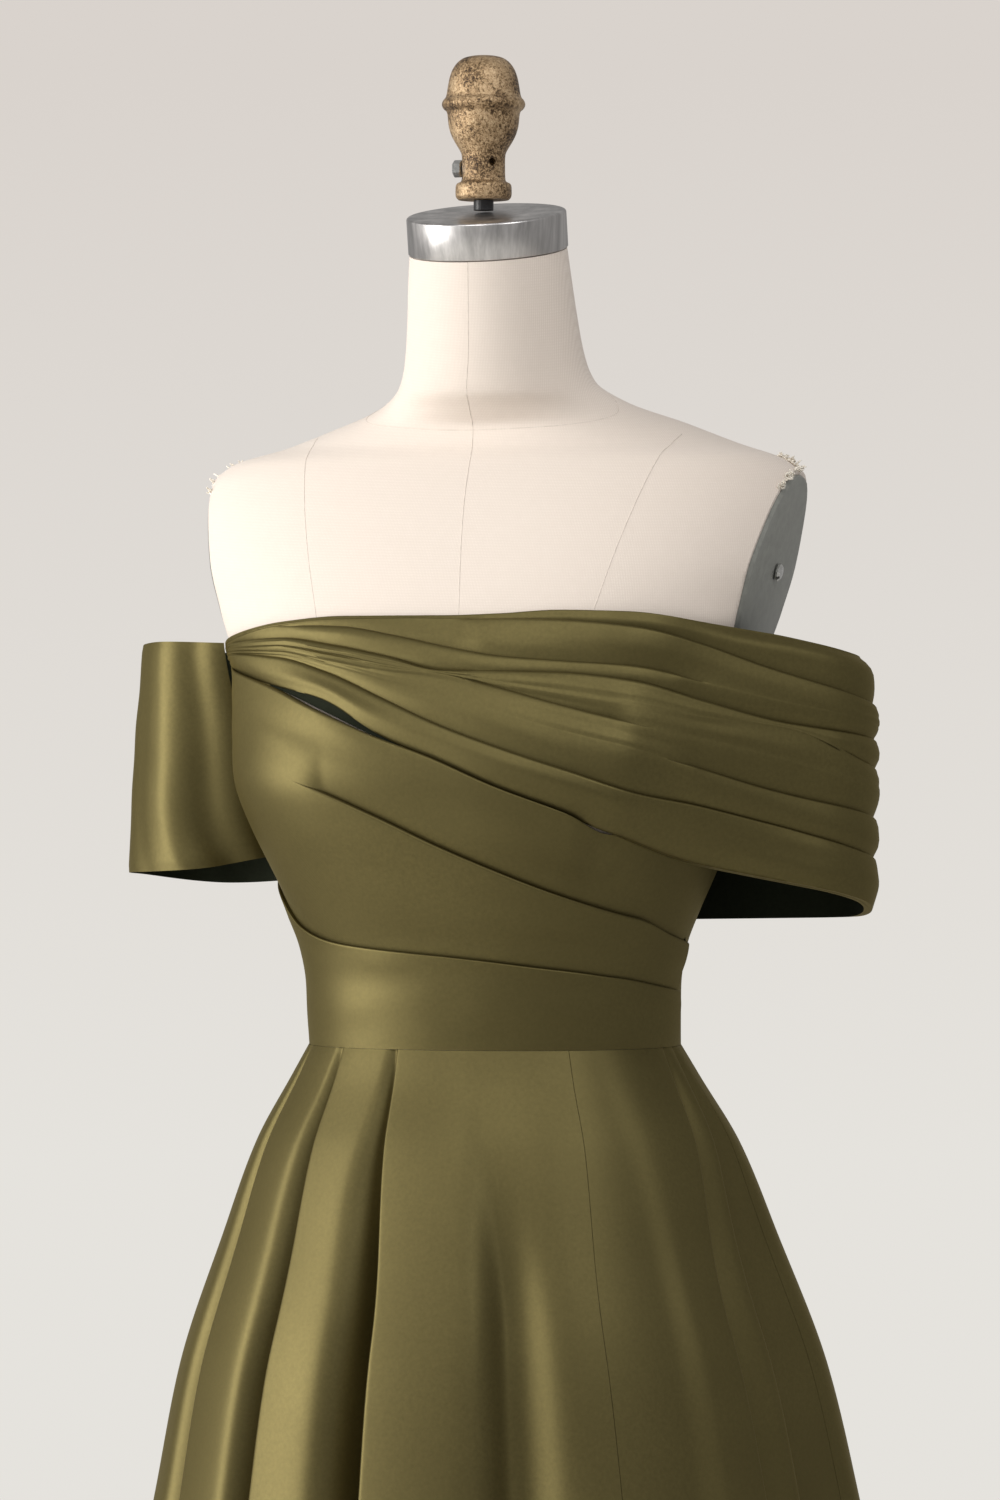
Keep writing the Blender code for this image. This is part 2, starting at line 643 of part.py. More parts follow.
def form_levels():
    """The table's heights, with one more between each pair where the bodice lies close."""
    heights = [row[0] for row in FORM_ROWS]
    low, high = CLOSE_LEVELS_H
    between = [(a + b) / 2 for a, b in zip(heights, heights[1:]) if low <= a and b <= high + 0.02]
    return sorted(heights + between)


def form_mesh(name, columns=42):
    """The covered torso as one closed solid, with flat ends."""
    angles = np.linspace(-180, 180, columns + 1)[:-1]
    points = []
    levels = form_levels()
    for height in levels:
        plan, section = form_outline(height, angles)
        lean = math.tan(math.radians(section["lean_deg"]))
        z = WAIST_Z + height + (plan[:, 1] - section["middle"]) * lean
        points.extend((x, y, level) for (x, y), level in zip(plan, z))
    rows = len(levels)
    faces = []
    for i in range(rows - 1):
        for j in range(columns):
            a, b = i * columns + j, i * columns + (j + 1) % columns
            faces.append((a, b, b + columns, a + columns))
    faces.append(tuple(range(columns)))
    faces.append(tuple(range((rows - 1) * columns, rows * columns)))
    mesh = bpy.data.meshes.new(name)
    mesh.from_pydata(points, [], faces)
    face_outwards(mesh)
    return mesh


PLATE = {"x": 0.172, "at_h": 0.295, "slope": 0.25, "bottom_h": 0.225, "top_h": 0.400, "thickness": 0.003}


def slab(name, side, near, far, collection):
    """A block on one side of the form, between two planes that lie a distance outside the arm's cut."""
    corners = []
    for height in (PLATE["bottom_h"] + max(0.0, near), PLATE["top_h"]):
        for away in (near, far):
            x = PLATE["x"] + PLATE["slope"] * (height - PLATE["at_h"]) + away
            corners.extend((side * x, y, WAIST_Z + height) for y in (-0.20, 0.25))
    faces = ((0, 1, 3, 2), (4, 5, 7, 6), (0, 1, 5, 4), (2, 3, 7, 6), (0, 2, 6, 4), (1, 3, 7, 5))
    mesh = bpy.data.meshes.new(name)
    mesh.from_pydata(corners, [], faces)
    face_outwards(mesh)
    made = bpy.data.objects.new(name, mesh)
    collection.objects.link(made)
    made.hide_render = True
    made.display_type = "WIRE"
    return made


def boolean(target, cutter, operation):
    modifier = target.modifiers.new(operation.title(), "BOOLEAN")
    modifier.operation = operation
    modifier.solver = "EXACT"
    modifier.object = cutter


def lathe_mesh(name, profile, steps=40, matrix=None):
    """A solid turned about Z from (radius, height) pairs."""
    work = bmesh.new()
    verts = [work.verts.new((radius, 0, height)) for radius, height in profile]
    edges = [work.edges.new(pair) for pair in zip(verts, verts[1:])]
    bmesh.ops.spin(
        work, geom=verts + edges, cent=(0, 0, 0), axis=(0, 0, 1), angle=2 * math.pi, steps=steps, use_merge=True
    )
    bmesh.ops.remove_doubles(work, verts=work.verts, dist=0.00001)
    bmesh.ops.recalc_face_normals(work, faces=work.faces)
    if matrix is not None:
        work.transform(matrix)
    mesh = bpy.data.meshes.new(name)
    work.to_mesh(mesh)
    work.free()
    return mesh


CAP = {"radius": 0.0497, "side": 0.0230, "edge": 0.0018, "centre_y": 0.003, "bottom_h": 0.4929, "lean_deg": 12.0}
ROD_RADIUS = 0.0062
FINIAL_H = 0.5240
FINIAL_X = -0.0022
HOLE_TURN_DEG = 40.0
FINIAL_PROFILE_MM = (
    (15.7, 0.0), (17.2, 1.6), (17.5, 4.0), (17.3, 9.8), (13.9, 11.2), (13.4, 13.5), (13.3, 27.5),
    (14.6, 30.6), (17.8, 35.7), (20.2, 40.3), (21.8, 46.0), (22.5, 54.6), (24.9, 56.3),
    (26.1, 59.0), (25.2, 61.6), (23.2, 63.6), (22.2, 70.0), (21.1, 76.0), (19.3, 81.0),
    (16.3, 85.2), (12.4, 88.0), (7.2, 89.2), (3.0, 89.5),
)
POLE_RADIUS = 0.016
BASE_PROFILE_MM = (
    (187, 0.0), (190, 3.0), (190, 8.0), (187, 10.5), (60, 18.0), (30, 28.0), (30, 55.0),
)
BOX_EDGES = 0.0004


def closed_profile(profile_mm):
    """Profile in metres, carried to the axis at both ends."""
    rows = [(r / 1000, h / 1000) for r, h in profile_mm]
    return [(0.0, rows[0][1])] + rows + [(0.0, rows[-1][1])]


def cylinder_profile(radius, start, end, edge):
    return [
        (0.0, start), (radius - edge, start), (radius, start + edge), (radius, end - edge), (radius - edge, end),
        (0.0, end),
    ]


def facing(origin, direction, roll=0.0):
    """The placement that turns +Z to a direction."""
    turn = Vector((0, 0, 1)).rotation_difference(Vector(direction).normalized())
    return Matrix.Translation(origin) @ turn.to_matrix().to_4x4() @ Matrix.Rotation(roll, 4, "Z")


def block_mesh(name, size, centre, edge, matrix=None):
    work = bmesh.new()
    bmesh.ops.create_cube(work, size=1.0)
    bmesh.ops.scale(work, vec=size, verts=work.verts)
    if edge:
        bmesh.ops.bevel(work, geom=work.edges[:], offset=edge, segments=1, affect="EDGES", profile=0.5)
    bmesh.ops.translate(work, vec=centre, verts=work.verts)
    if matrix is not None:
        work.transform(matrix)
    mesh = bpy.data.meshes.new(name)
    work.to_mesh(mesh)
    work.free()
    return mesh


# The zip's slider and tab, at the top of the centre back seam
ZIP = {
    "h": 0.222, "body": (0.0050, 0.0020, 0.0080), "off": 0.0006, "bar_radius": 0.0005, "bar_out": 0.0015,
    "crown_width": 0.0009, "crown_wall": 0.0007, "play": 0.0005, "tab": (0.0046, 0.0010, 0.0160), "eye": 0.0032,
}


def build_form(collection, cutters, finishes):
    torso = add_object("form_torso", form_mesh("form_torso"), finishes["linen"], collection)
    for side, word in ((1, "left"), (-1, "right")):
        boolean(torso, slab(f"arm_cut_{word}", side, 0.0, 0.12, cutters), "DIFFERENCE")
        plate = add_object(f"arm_plate_{word}", form_mesh(f"arm_plate_{word}"), finishes["plate"], collection)
        reach = slab(f"plate_reach_{word}", side, SEAM_GAP, SEAM_GAP + PLATE["thickness"], cutters)
        boolean(plate, reach, "INTERSECT")
        height = 0.293
        x = PLATE["x"] + PLATE["slope"] * (height - PLATE["at_h"]) + 2 * SEAM_GAP + PLATE["thickness"]
        lean = math.atan(PLATE["slope"])
        out = (side * math.cos(lean), 0, -math.sin(lean))
        head = [(0.0, 0.0), (0.0055, 0.0), (0.0055, 0.0012), (0.0040, 0.0026), (0.0, 0.0030)]
        screw = lathe_mesh(
            f"arm_plate_screw_{word}", head, 12, facing((side * x, 0.042, WAIST_Z + height), out)
        )
        add_object(f"arm_plate_screw_{word}", screw, finishes["steel"], collection)


def build_neck(collection, cutters, finishes):
    cap_place = Matrix.Translation((0, CAP["centre_y"], WAIST_Z + CAP["bottom_h"]))
    cap_place = cap_place @ Matrix.Rotation(math.radians(CAP["lean_deg"]), 4, "X")
    cap = lathe_mesh("neck_cap", cylinder_profile(CAP["radius"], 0.0, CAP["side"], CAP["edge"]), 44, cap_place)
    add_object("neck_cap", cap, finishes["steel"], collection)
    rod_foot = cap_place @ Vector((0, 0, CAP["side"] + SEAM_GAP))
    low = rod_foot.z + math.tan(math.radians(CAP["lean_deg"])) * (ROD_RADIUS + 0.002)
    rod_profile = cylinder_profile(ROD_RADIUS, low, WAIST_Z + FINIAL_H - SEAM_GAP, 0.0002)
    rod = lathe_mesh("neck_rod", rod_profile, 24, Matrix.Translation((FINIAL_X, 0, 0)))
    add_object("neck_rod", rod, finishes["black"], collection)
    finial_place = Matrix.Translation((FINIAL_X, 0, WAIST_Z + FINIAL_H))
    finial = lathe_mesh("finial", closed_profile(FINIAL_PROFILE_MM), 24, finial_place)
    finial = add_object("finial", finial, finishes["brass"], collection, 28)
    turn = math.radians(HOLE_TURN_DEG)
    out = Vector((math.sin(turn), -math.cos(turn), 0))
    hole_at = Vector((FINIAL_X, 0, WAIST_Z + FINIAL_H + 0.0228)) + 0.0135 * out
    hole = lathe_mesh("finial_hole", cylinder_profile(0.0024, -0.006, 0.004, 0.0), 16, facing(hole_at, out))
    cutter = bpy.data.objects.new("finial_hole", hole)
    cutters.objects.link(cutter)
    cutter.hide_render = True
    cutter.display_type = "WIRE"
    boolean(finial, cutter, "DIFFERENCE")
    screw_profile = cylinder_profile(0.0054, 0.0, 0.0055, 0.0006)
    screw_place = facing((FINIAL_X - 0.0137, 0, WAIST_Z + FINIAL_H + 0.0197), (-1, 0, 0))
    screw = lathe_mesh("set_screw", screw_profile, 6, screw_place)
    add_object("set_screw", screw, finishes["steel"], collection)


def build_stand(collection, finishes):
    top = WAIST_Z + FORM_ROWS[0][0] - SEAM_GAP
    pole = lathe_mesh("stand_pole", cylinder_profile(POLE_RADIUS, 0.0553, top, 0.001), 24)
    add_object("stand_pole", pole, finishes["steel"], collection)
    base = lathe_mesh("stand_base", closed_profile(BASE_PROFILE_MM), 40)
    add_object("stand_base", base, finishes["black"], collection)


def build_zip(bodice, collection, cutters, finishes):
    height = ZIP["h"]
    wall = field_points(bodice, np.array([height]), np.array([180.0]), SKIN_GAP + CLOTH)[0]
    face = wall[1] + ZIP["off"]
    width, depth, tall = ZIP["body"]
    slider = add_object(
        "zip_slider",
        block_mesh("zip_slider", (width, depth, tall), (0, face + depth / 2, WAIST_Z + height), BOX_EDGES),
        finishes["metal"], collection,
    )
    bar_y = face + depth + ZIP["bar_out"]
    bar_z = WAIST_Z + height + 0.0010
    hollow = ZIP["bar_radius"] + ZIP["play"]
    crown_reach = hollow + ZIP["crown_wall"]
    crown_depth = (bar_y + crown_reach) - (face + depth - 0.0006)
    crown_mesh = block_mesh(
        "zip_crown", (ZIP["crown_width"], crown_depth, 2 * crown_reach),
        (0, bar_y + crown_reach - crown_depth / 2, bar_z), 0.0,
    )
    crown = bpy.data.objects.new("zip_crown", crown_mesh)
    eye_mesh = block_mesh("zip_crown_eye", (0.004, 2 * hollow, 2 * hollow), (0, bar_y, bar_z), 0.0)
    crown_eye = bpy.data.objects.new("zip_crown_eye", eye_mesh)
    for cutter in (crown, crown_eye):
        cutters.objects.link(cutter)
        cutter.hide_render = True
        cutter.display_type = "WIRE"
    boolean(slider, crown, "UNION")
    boolean(slider, crown_eye, "DIFFERENCE")
    tab_width, tab_depth, tab_length = ZIP["tab"]
    tab_centre = (0, bar_y, bar_z + ZIP["bar_radius"] - tab_length / 2)
    tab = add_object(
        "zip_pull", block_mesh("zip_pull", (tab_width, tab_depth, tab_length), tab_centre, 0.0003),
        finishes["metal"], collection,
    )
    eye_length = 0.0036
    eye = bpy.data.objects.new("zip_pull_eye", block_mesh(
        "zip_pull_eye", (ZIP["eye"], 0.004, eye_length),
        (0, bar_y, bar_z - ZIP["bar_radius"] - eye_length / 2), 0.0,
    ))
    cutters.objects.link(eye)
    eye.hide_render = True
    eye.display_type = "WIRE"
    boolean(tab, eye, "DIFFERENCE")


def main():
    collection, cutters = new_collection()
    finishes = {
        "satin": material("olive_satin", OLIVE, 0.38),
        "linen": material("cream_linen", LINEN, 0.9),
        "steel": material("brushed_steel", STEEL, 0.35, 1.0),
        "plate": material("grey_plate", PLATE_GREY, 0.5),
        "brass": material("aged_gold_paint", AGED_BRASS, 0.5, 0.6),
        "black": material("black_steel", BLACK_STEEL, 0.45, 0.6),
        "metal": material("zip_metal", STEEL, 0.3, 1.0),
    }
    bodice, band = surface_field(bodice_radius), surface_field(band_radius)
    meshes = [
        build_drape(band),
        build_bodice_front(bodice),
        build_waist_panel(bodice),
        build_bodice_back("bodice_back_left", bodice, 90, 180, BACK_TOP_MM["left_side"]),
        build_bodice_back("bodice_back_right", bodice, -180, -90, BACK_TOP_MM["side"]),
        build_sleeve_right(bodice),
    ]
    meshes += [build_skirt_panel(*panel) for panel in SKIRT_PANELS]
    for mesh in meshes:
        add_object(mesh.name, mesh, finishes["satin"], collection)
    build_form(collection, cutters, finishes)
    build_neck(collection, cutters, finishes)
    build_stand(collection, finishes)
    build_zip(bodice, collection, cutters, finishes)


main()
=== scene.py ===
"""Finish of the off-shoulder satin dress and its dress form: fine cloth shells, metal parts and their materials.

Metres, +Z up, the form faces -Y and its left side is +X. Heights called h are measured up from the waist seam, and
angles go round the body from the centre front, positive towards the form's left side.
"""

import math

import bmesh
import bpy
import numpy as np
from mathutils import Matrix, Vector


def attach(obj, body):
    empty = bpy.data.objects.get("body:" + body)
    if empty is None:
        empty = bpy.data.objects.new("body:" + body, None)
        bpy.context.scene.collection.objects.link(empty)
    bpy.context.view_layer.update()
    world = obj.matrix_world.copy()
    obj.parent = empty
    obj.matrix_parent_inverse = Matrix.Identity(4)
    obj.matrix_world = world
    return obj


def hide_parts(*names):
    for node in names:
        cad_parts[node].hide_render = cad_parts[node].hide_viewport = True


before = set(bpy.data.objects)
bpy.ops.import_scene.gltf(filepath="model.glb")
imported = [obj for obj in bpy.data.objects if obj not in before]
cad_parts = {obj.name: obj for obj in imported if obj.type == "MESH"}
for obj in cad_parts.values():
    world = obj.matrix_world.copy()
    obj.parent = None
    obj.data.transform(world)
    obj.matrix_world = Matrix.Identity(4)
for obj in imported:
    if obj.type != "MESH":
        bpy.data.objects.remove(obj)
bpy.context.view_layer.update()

BODY = "dress_and_form"
WAIST_Z = 1.080
HEM_CLEARANCE = 0.020
SKIRT_LENGTH = WAIST_Z - HEM_CLEARANCE
SKIN_GAP = 0.0016
CLOTH = 0.0013
SEAM_GAP = 0.0003
FOLD_STEP = 0.0042

# The covered form, one row a level: its outline is two half superellipses that meet at the middle line.
FORM_COLUMNS = ("height", "half_width", "front", "back", "middle", "squareness", "lean_deg")
FORM_ROWS = (
    (-0.310, 0.150, -0.085, 0.132, 0.022, 2.20, 0),
    (-0.210, 0.168, -0.099, 0.153, 0.022, 2.20, 0),
    (-0.120, 0.156, -0.096, 0.140, 0.022, 2.20, 0),
    (-0.060, 0.132, -0.088, 0.118, 0.020, 2.20, 0),
    (0.000, 0.1135, -0.076, 0.104, 0.019, 2.15, 0),
    (0.035, 0.1135, -0.077, 0.105, 0.019, 2.15, 0),
    (0.060, 0.1165, -0.081, 0.108, 0.020, 2.15, 0),
    (0.080, 0.1235, -0.088, 0.112, 0.021, 2.20, 0),
    (0.105, 0.1340, -0.098, 0.118, 0.023, 2.25, 0),
    (0.135, 0.1460, -0.109, 0.123, 0.025, 2.30, 0),
    (0.165, 0.1540, -0.114, 0.127, 0.027, 2.35, 0),
    (0.200, 0.1600, -0.108, 0.130, 0.030, 2.40, 0),
    (0.235, 0.1650, -0.094, 0.132, 0.034, 2.50, 0),
    (0.270, 0.1800, -0.080, 0.133, 0.038, 2.60, 0),
    (0.300, 0.1930, -0.068, 0.131, 0.042, 2.60, 0),
    (0.330, 0.1960, -0.052, 0.126, 0.046, 2.50, 0),
    (0.350, 0.1920, -0.038, 0.120, 0.050, 2.40, 0),
    (0.362, 0.1800, -0.028, 0.114, 0.050, 2.30, 0),
    (0.374, 0.1450, -0.018, 0.114, 0.062, 2.20, 1),
    (0.387, 0.1110, -0.014, 0.108, 0.060, 2.10, 3),
    (0.399, 0.0780, -0.022, 0.092, 0.042, 2.00, 5),
    (0.410, 0.0620, -0.032, 0.078, 0.024, 2.00, 7),
    (0.425, 0.0565, -0.036, 0.070, 0.018, 2.00, 9),
    (0.450, 0.0530, -0.040, 0.062, 0.012, 2.00, 11),
    (0.475, 0.0507, -0.043, 0.055, 0.006, 2.00, 12),
    (0.4923, 0.0490, -0.045, 0.051, 0.003, 2.00, 12),
)
BUST = {"height": 0.160, "angle_deg": 40.0, "rise": 0.008, "spread_deg": 24.0, "spread_h": 0.042}


def monotone_curve(knots, values, x):
    """The smooth curve through a table's points that never overshoots them."""
    knots, values, x = (np.asarray(item, float) for item in (knots, values, x))
    steps = np.diff(knots)
    rises = np.diff(values) / steps
    slopes = np.empty_like(values)
    slopes[0], slopes[-1] = rises[0], rises[-1]
    for i in range(1, len(knots) - 1):
        before, after = rises[i - 1], rises[i]
        if before * after <= 0:
            slopes[i] = 0.0
        else:
            near, far = 2 * steps[i] + steps[i - 1], steps[i] + 2 * steps[i - 1]
            slopes[i] = (near + far) / (near / before + far / after)
    i = np.clip(np.searchsorted(knots, x) - 1, 0, len(knots) - 2)
    t = np.clip((x - knots[i]) / steps[i], 0.0, 1.0)
    return (
        values[i] * (1 + 2 * t) * (1 - t) ** 2
        + values[i + 1] * t**2 * (3 - 2 * t)
        + steps[i] * (slopes[i] * t * (1 - t) ** 2 - slopes[i + 1] * t**2 * (1 - t))
    )


def table_at(columns, rows, height):
    """Every named column of a table, read at a height."""
    table = np.array(rows, float)
    return {name: float(monotone_curve(table[:, 0], table[:, k], height)) for k, name in enumerate(columns)}


def superellipse_radius(section, angles_deg):
    """Distance from the middle line's centre to the outline, in each direction."""
    angles = np.radians(angles_deg)
    n = section["squareness"]
    depth = np.where(
        np.cos(angles) >= 0, section["middle"] - section["front"], section["back"] - section["middle"]
    )
    across = np.abs(np.sin(angles) / section["half_width"]) ** n
    along = np.abs(np.cos(angles) / depth) ** n
    return (across + along) ** (-1 / n)


def bust_rise(height, angles_deg):
    level = math.exp(-(((height - BUST["height"]) / BUST["spread_h"]) ** 2))
    sides = sum(
        np.exp(-(((np.asarray(angles_deg) - side * BUST["angle_deg"]) / BUST["spread_deg"]) ** 2))
        for side in (-1, 1)
    )
    return BUST["rise"] * level * sides


def plan_points(middle, radius, angles_deg):
    angles = np.radians(angles_deg)
    return np.stack([radius * np.sin(angles), middle - radius * np.cos(angles)], axis=1)


def form_outline(height, angles_deg):
    """Plan points of the covered form at a level, before the lean."""
    section = table_at(FORM_COLUMNS, FORM_ROWS, height)
    radius = superellipse_radius(section, angles_deg) + bust_rise(height, angles_deg)
    return plan_points(section["middle"], radius, angles_deg), section


FULL_TURN = np.arange(-180.0, 180.0, 1.0)


def radius_about(points, middle, angles_deg):
    """A closed plan outline, read as a radius in each direction from (0, middle)."""
    x, y = points[:, 0], points[:, 1] - middle
    bearing = np.degrees(np.arctan2(x, -y))
    order = np.argsort(bearing)
    return np.interp(angles_deg, bearing[order], np.hypot(x, y)[order], period=360.0)


def body_radius(height, angles_deg, offset):
    """Radius of the form's outline, moved outwards by offset."""
    points, section = form_outline(height, FULL_TURN)
    ahead, behind = np.roll(points, -1, axis=0), np.roll(points, 1, axis=0)
    tangent = ahead - behind
    tangent /= np.linalg.norm(tangent, axis=1)[:, None]
    outward = np.stack([-tangent[:, 1], tangent[:, 0]], axis=1)
    centre = np.array([0.0, section["middle"]])
    outward *= np.sign(np.sum(outward * (points - centre), axis=1))[:, None]
    return radius_about(points + outward * offset, section["middle"], angles_deg)


def body_middle(height):
    return table_at(FORM_COLUMNS, FORM_ROWS, height)["middle"]


# The left arm's place inside the drape: the band of cloth runs taut round the chest and this oval.
ARM_COLUMNS = ("height", "centre_x", "centre_y", "half_width", "half_depth")
LEFT_ARM_ROWS = (
    (0.060, 0.168, 0.036, 0.058, 0.052),
    (0.120, 0.170, 0.038, 0.058, 0.052),
    (0.200, 0.171, 0.040, 0.057, 0.050),
    (0.280, 0.168, 0.042, 0.057, 0.048),
)
RIGHT_ARM_ROWS = (
    (0.090, -0.190, 0.050, 0.058, 0.062),
    (0.160, -0.189, 0.048, 0.055, 0.058),
    (0.262, -0.186, 0.046, 0.050, 0.052),
)


def arm_outline(rows, height, angles_deg, offset):
    arm = table_at(ARM_COLUMNS, rows, height)
    angles = np.radians(angles_deg)
    x = arm["centre_x"] + (arm["half_width"] + offset) * np.sin(angles)
    y = arm["centre_y"] - (arm["half_depth"] + offset) * np.cos(angles)
    return np.stack([x, y], axis=1)


def convex_outline(points):
    """Convex outline round plan points, with points added along its straight runs."""
    ordered = sorted(map(tuple, points))

    def half(run):
        kept = []
        for point in run:
            while len(kept) > 1:
                (ax, ay), (bx, by) = kept[-2], kept[-1]
                if (bx - ax) * (point[1] - ay) - (by - ay) * (point[0] - ax) > 0:
                    break
                kept.pop()
            kept.append(point)
        return kept[:-1]

    corners = np.array(half(ordered) + half(ordered[::-1]))
    following = np.roll(corners, -1, axis=0)
    spacing = 0.002
    runs = [
        start + (end - start) * np.linspace(0, 1, max(2, int(np.linalg.norm(end - start) / spacing)))[:-1, None]
        for start, end in zip(corners, following)
    ]
    return np.concatenate(runs)


def bodice_radius(height, angles_deg, offset):
    """Radius of cloth drawn taut round the chest."""
    middle = body_middle(height)
    chest = plan_points(middle, body_radius(height, FULL_TURN, offset), FULL_TURN)
    return radius_about(convex_outline(chest), middle, angles_deg)


def band_radius(height, angles_deg, offset):
    """Radius of cloth drawn taut round the chest and the left arm's place together."""
    middle = body_middle(height)
    chest = plan_points(middle, body_radius(height, FULL_TURN, offset), FULL_TURN)
    arm = arm_outline(LEFT_ARM_ROWS, height, FULL_TURN, offset)
    return radius_about(convex_outline(np.concatenate([chest, arm])), middle, angles_deg)


FIELD_STEP = 0.0025
FIELD_OFFSET = 0.006


def smoothed(table):
    """The table with its finest unevenness taken out, so that satin reflects cleanly on it."""
    weights = np.array((1.0, 4.0, 6.0, 4.0, 1.0)) / 16
    for _ in range(2):
        table = sum(w * np.roll(table, k - 2, axis=1) for k, w in enumerate(weights))
        padded = np.pad(table, ((2, 2), (0, 0)), mode="reflect", reflect_type="odd")
        table = sum(w * padded[k : k + len(table)] for k, w in enumerate(weights))
    return table


def surface_field(radius_of):
    levels = np.arange(-0.020, 0.310, FIELD_STEP)
    near = smoothed(np.array([radius_of(level, FULL_TURN, 0.0) for level in levels]))
    far = smoothed(np.array([radius_of(level, FULL_TURN, FIELD_OFFSET) for level in levels]))
    middles = np.array([body_middle(level) for level in levels])
    return {"levels": levels, "near": near, "far": far, "middles": middles}


def cubic_weights(t):
    return (
        (-t + 2 * t**2 - t**3) / 2,
        (2 - 5 * t**2 + 3 * t**3) / 2,
        (t + 4 * t**2 - 3 * t**3) / 2,
        (-(t**2) + t**3) / 2,
    )


def field_radius(field, heights, angles_deg, offsets):
    row = np.clip((heights - field["levels"][0]) / FIELD_STEP, 1, len(field["levels"]) - 3.001)
    column = (angles_deg + 180.0) % 360.0
    i, j = row.astype(int), column.astype(int)
    down, across = cubic_weights(row - i), cubic_weights(column - j)

    def read(table):
        total = 0.0
        for a in range(4):
            line = sum(across[b] * table[i + a - 1, (j + b - 1) % 360] for b in range(4))
            total = total + down[a] * line
        return total

    near = read(field["near"])
    return near + (read(field["far"]) - near) * offsets / FIELD_OFFSET


def field_points(field, heights, angles_deg, offsets):
    heights, angles_deg, offsets = np.broadcast_arrays(heights, angles_deg, offsets)
    radius = field_radius(field, heights, angles_deg, offsets)
    middle = np.interp(heights, field["levels"], field["middles"])
    angles = np.radians(angles_deg)
    return np.stack([radius * np.sin(angles), middle - radius * np.cos(angles), WAIST_Z + heights], axis=-1)


def smooth_step(t):
    t = np.clip(t, 0.0, 1.0)
    return t * t * (3 - 2 * t)


# Meshes


def face_outwards(mesh):
    work = bmesh.new()
    work.from_mesh(mesh)
    bmesh.ops.recalc_face_normals(work, faces=work.faces)
    work.to_mesh(mesh)
    work.free()


def grid_quads(rows, columns, first, flip):
    a = (np.arange(rows - 1)[:, None] * columns + np.arange(columns - 1)[None, :]).ravel() + first
    quads = np.stack([a, a + columns, a + columns + 1, a + 1], axis=1)
    return quads[:, ::-1] if flip else quads


def wall_mesh(name, outer, inner):
    """A closed cloth wall. Its inner face may have fewer rows, and takes the second material, a near-black satin that
    is painted shade.
    """
    outer_rows, columns = outer.shape[:2]
    inner_rows = inner.shape[0]
    count = outer_rows * columns
    outside = grid_quads(outer_rows, columns, 0, False)
    inside = grid_quads(inner_rows, columns, count, True)
    faces = [tuple(int(i) for i in quad) for quad in outside]
    faces += [tuple(int(i) for i in quad) for quad in inside]
    outer_last, inner_last = (outer_rows - 1) * columns, count + (inner_rows - 1) * columns
    for j in range(columns - 1):
        faces.append((j, j + 1, count + j + 1, count + j))
        faces.append((outer_last + j + 1, outer_last + j, inner_last + j, inner_last + j + 1))
    for j in (0, columns - 1):
        end = [i * columns + j for i in range(outer_rows)]
        end += [count + i * columns + j for i in range(inner_rows - 1, -1, -1)]
        faces.append(tuple(end if j else end[::-1]))
    mesh = bpy.data.meshes.new(name)
    points = np.concatenate([outer.reshape(-1, 3), inner.reshape(-1, 3)])
    mesh.from_pydata(points.tolist(), [], faces)
    face_outwards(mesh)
    material_of = np.zeros(len(mesh.polygons), np.int32)
    material_of[len(outside) : len(outside) + len(inside)] = 1
    mesh.polygons.foreach_set("material_index", material_of)
    return mesh


def area_of(points):
    """Area of a grid of points."""
    a, b = points[1:, :-1] - points[:-1, :-1], points[:-1, 1:] - points[:-1, :-1]
    c, d = points[:-1, 1:] - points[1:, 1:], points[1:, :-1] - points[1:, 1:]
    halves = np.linalg.norm(np.cross(a, b), axis=-1) + np.linalg.norm(np.cross(c, d), axis=-1)
    return float(halves.sum() / 2)


def lengths_of(points, axis):
    return np.linalg.norm(np.diff(points, axis=axis), axis=-1).sum(axis=axis)


def add_piece(name, mesh, finishes, node=None, body=BODY, smooth_deg=None):
    piece = bpy.data.objects.new(name, mesh)
    bpy.context.scene.collection.objects.link(piece)
    for finish in finishes:
        mesh.materials.append(finish)
    mesh.shade_smooth()
    if smooth_deg:
        mesh.set_sharp_from_angle(angle=math.radians(smooth_deg))
    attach(piece, body)
    if node:
        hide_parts(node)
    return piece


def add_cloth(name, node, outer, inner):
    """A cloth piece in place of its solid, declared with the size to which it was cut."""
    mesh = wall_mesh(name, outer, inner)
    piece = add_piece(name, mesh, (SATIN, SATIN_BACK_PAINTED_SHADE), node, smooth_deg=60)
    area = area_of(outer)
    wide, tall = float(lengths_of(outer, 1).max()), float(lengths_of(outer, 0).max())
    share = area / (wide * tall)
    if share < 0.32:
        tall = area / (0.34 * wide)
    SHEET_SIZES[name] = (round(wide, 3), round(tall, 3), round(area, 4))
    return piece


SHEET_SIZES = {}


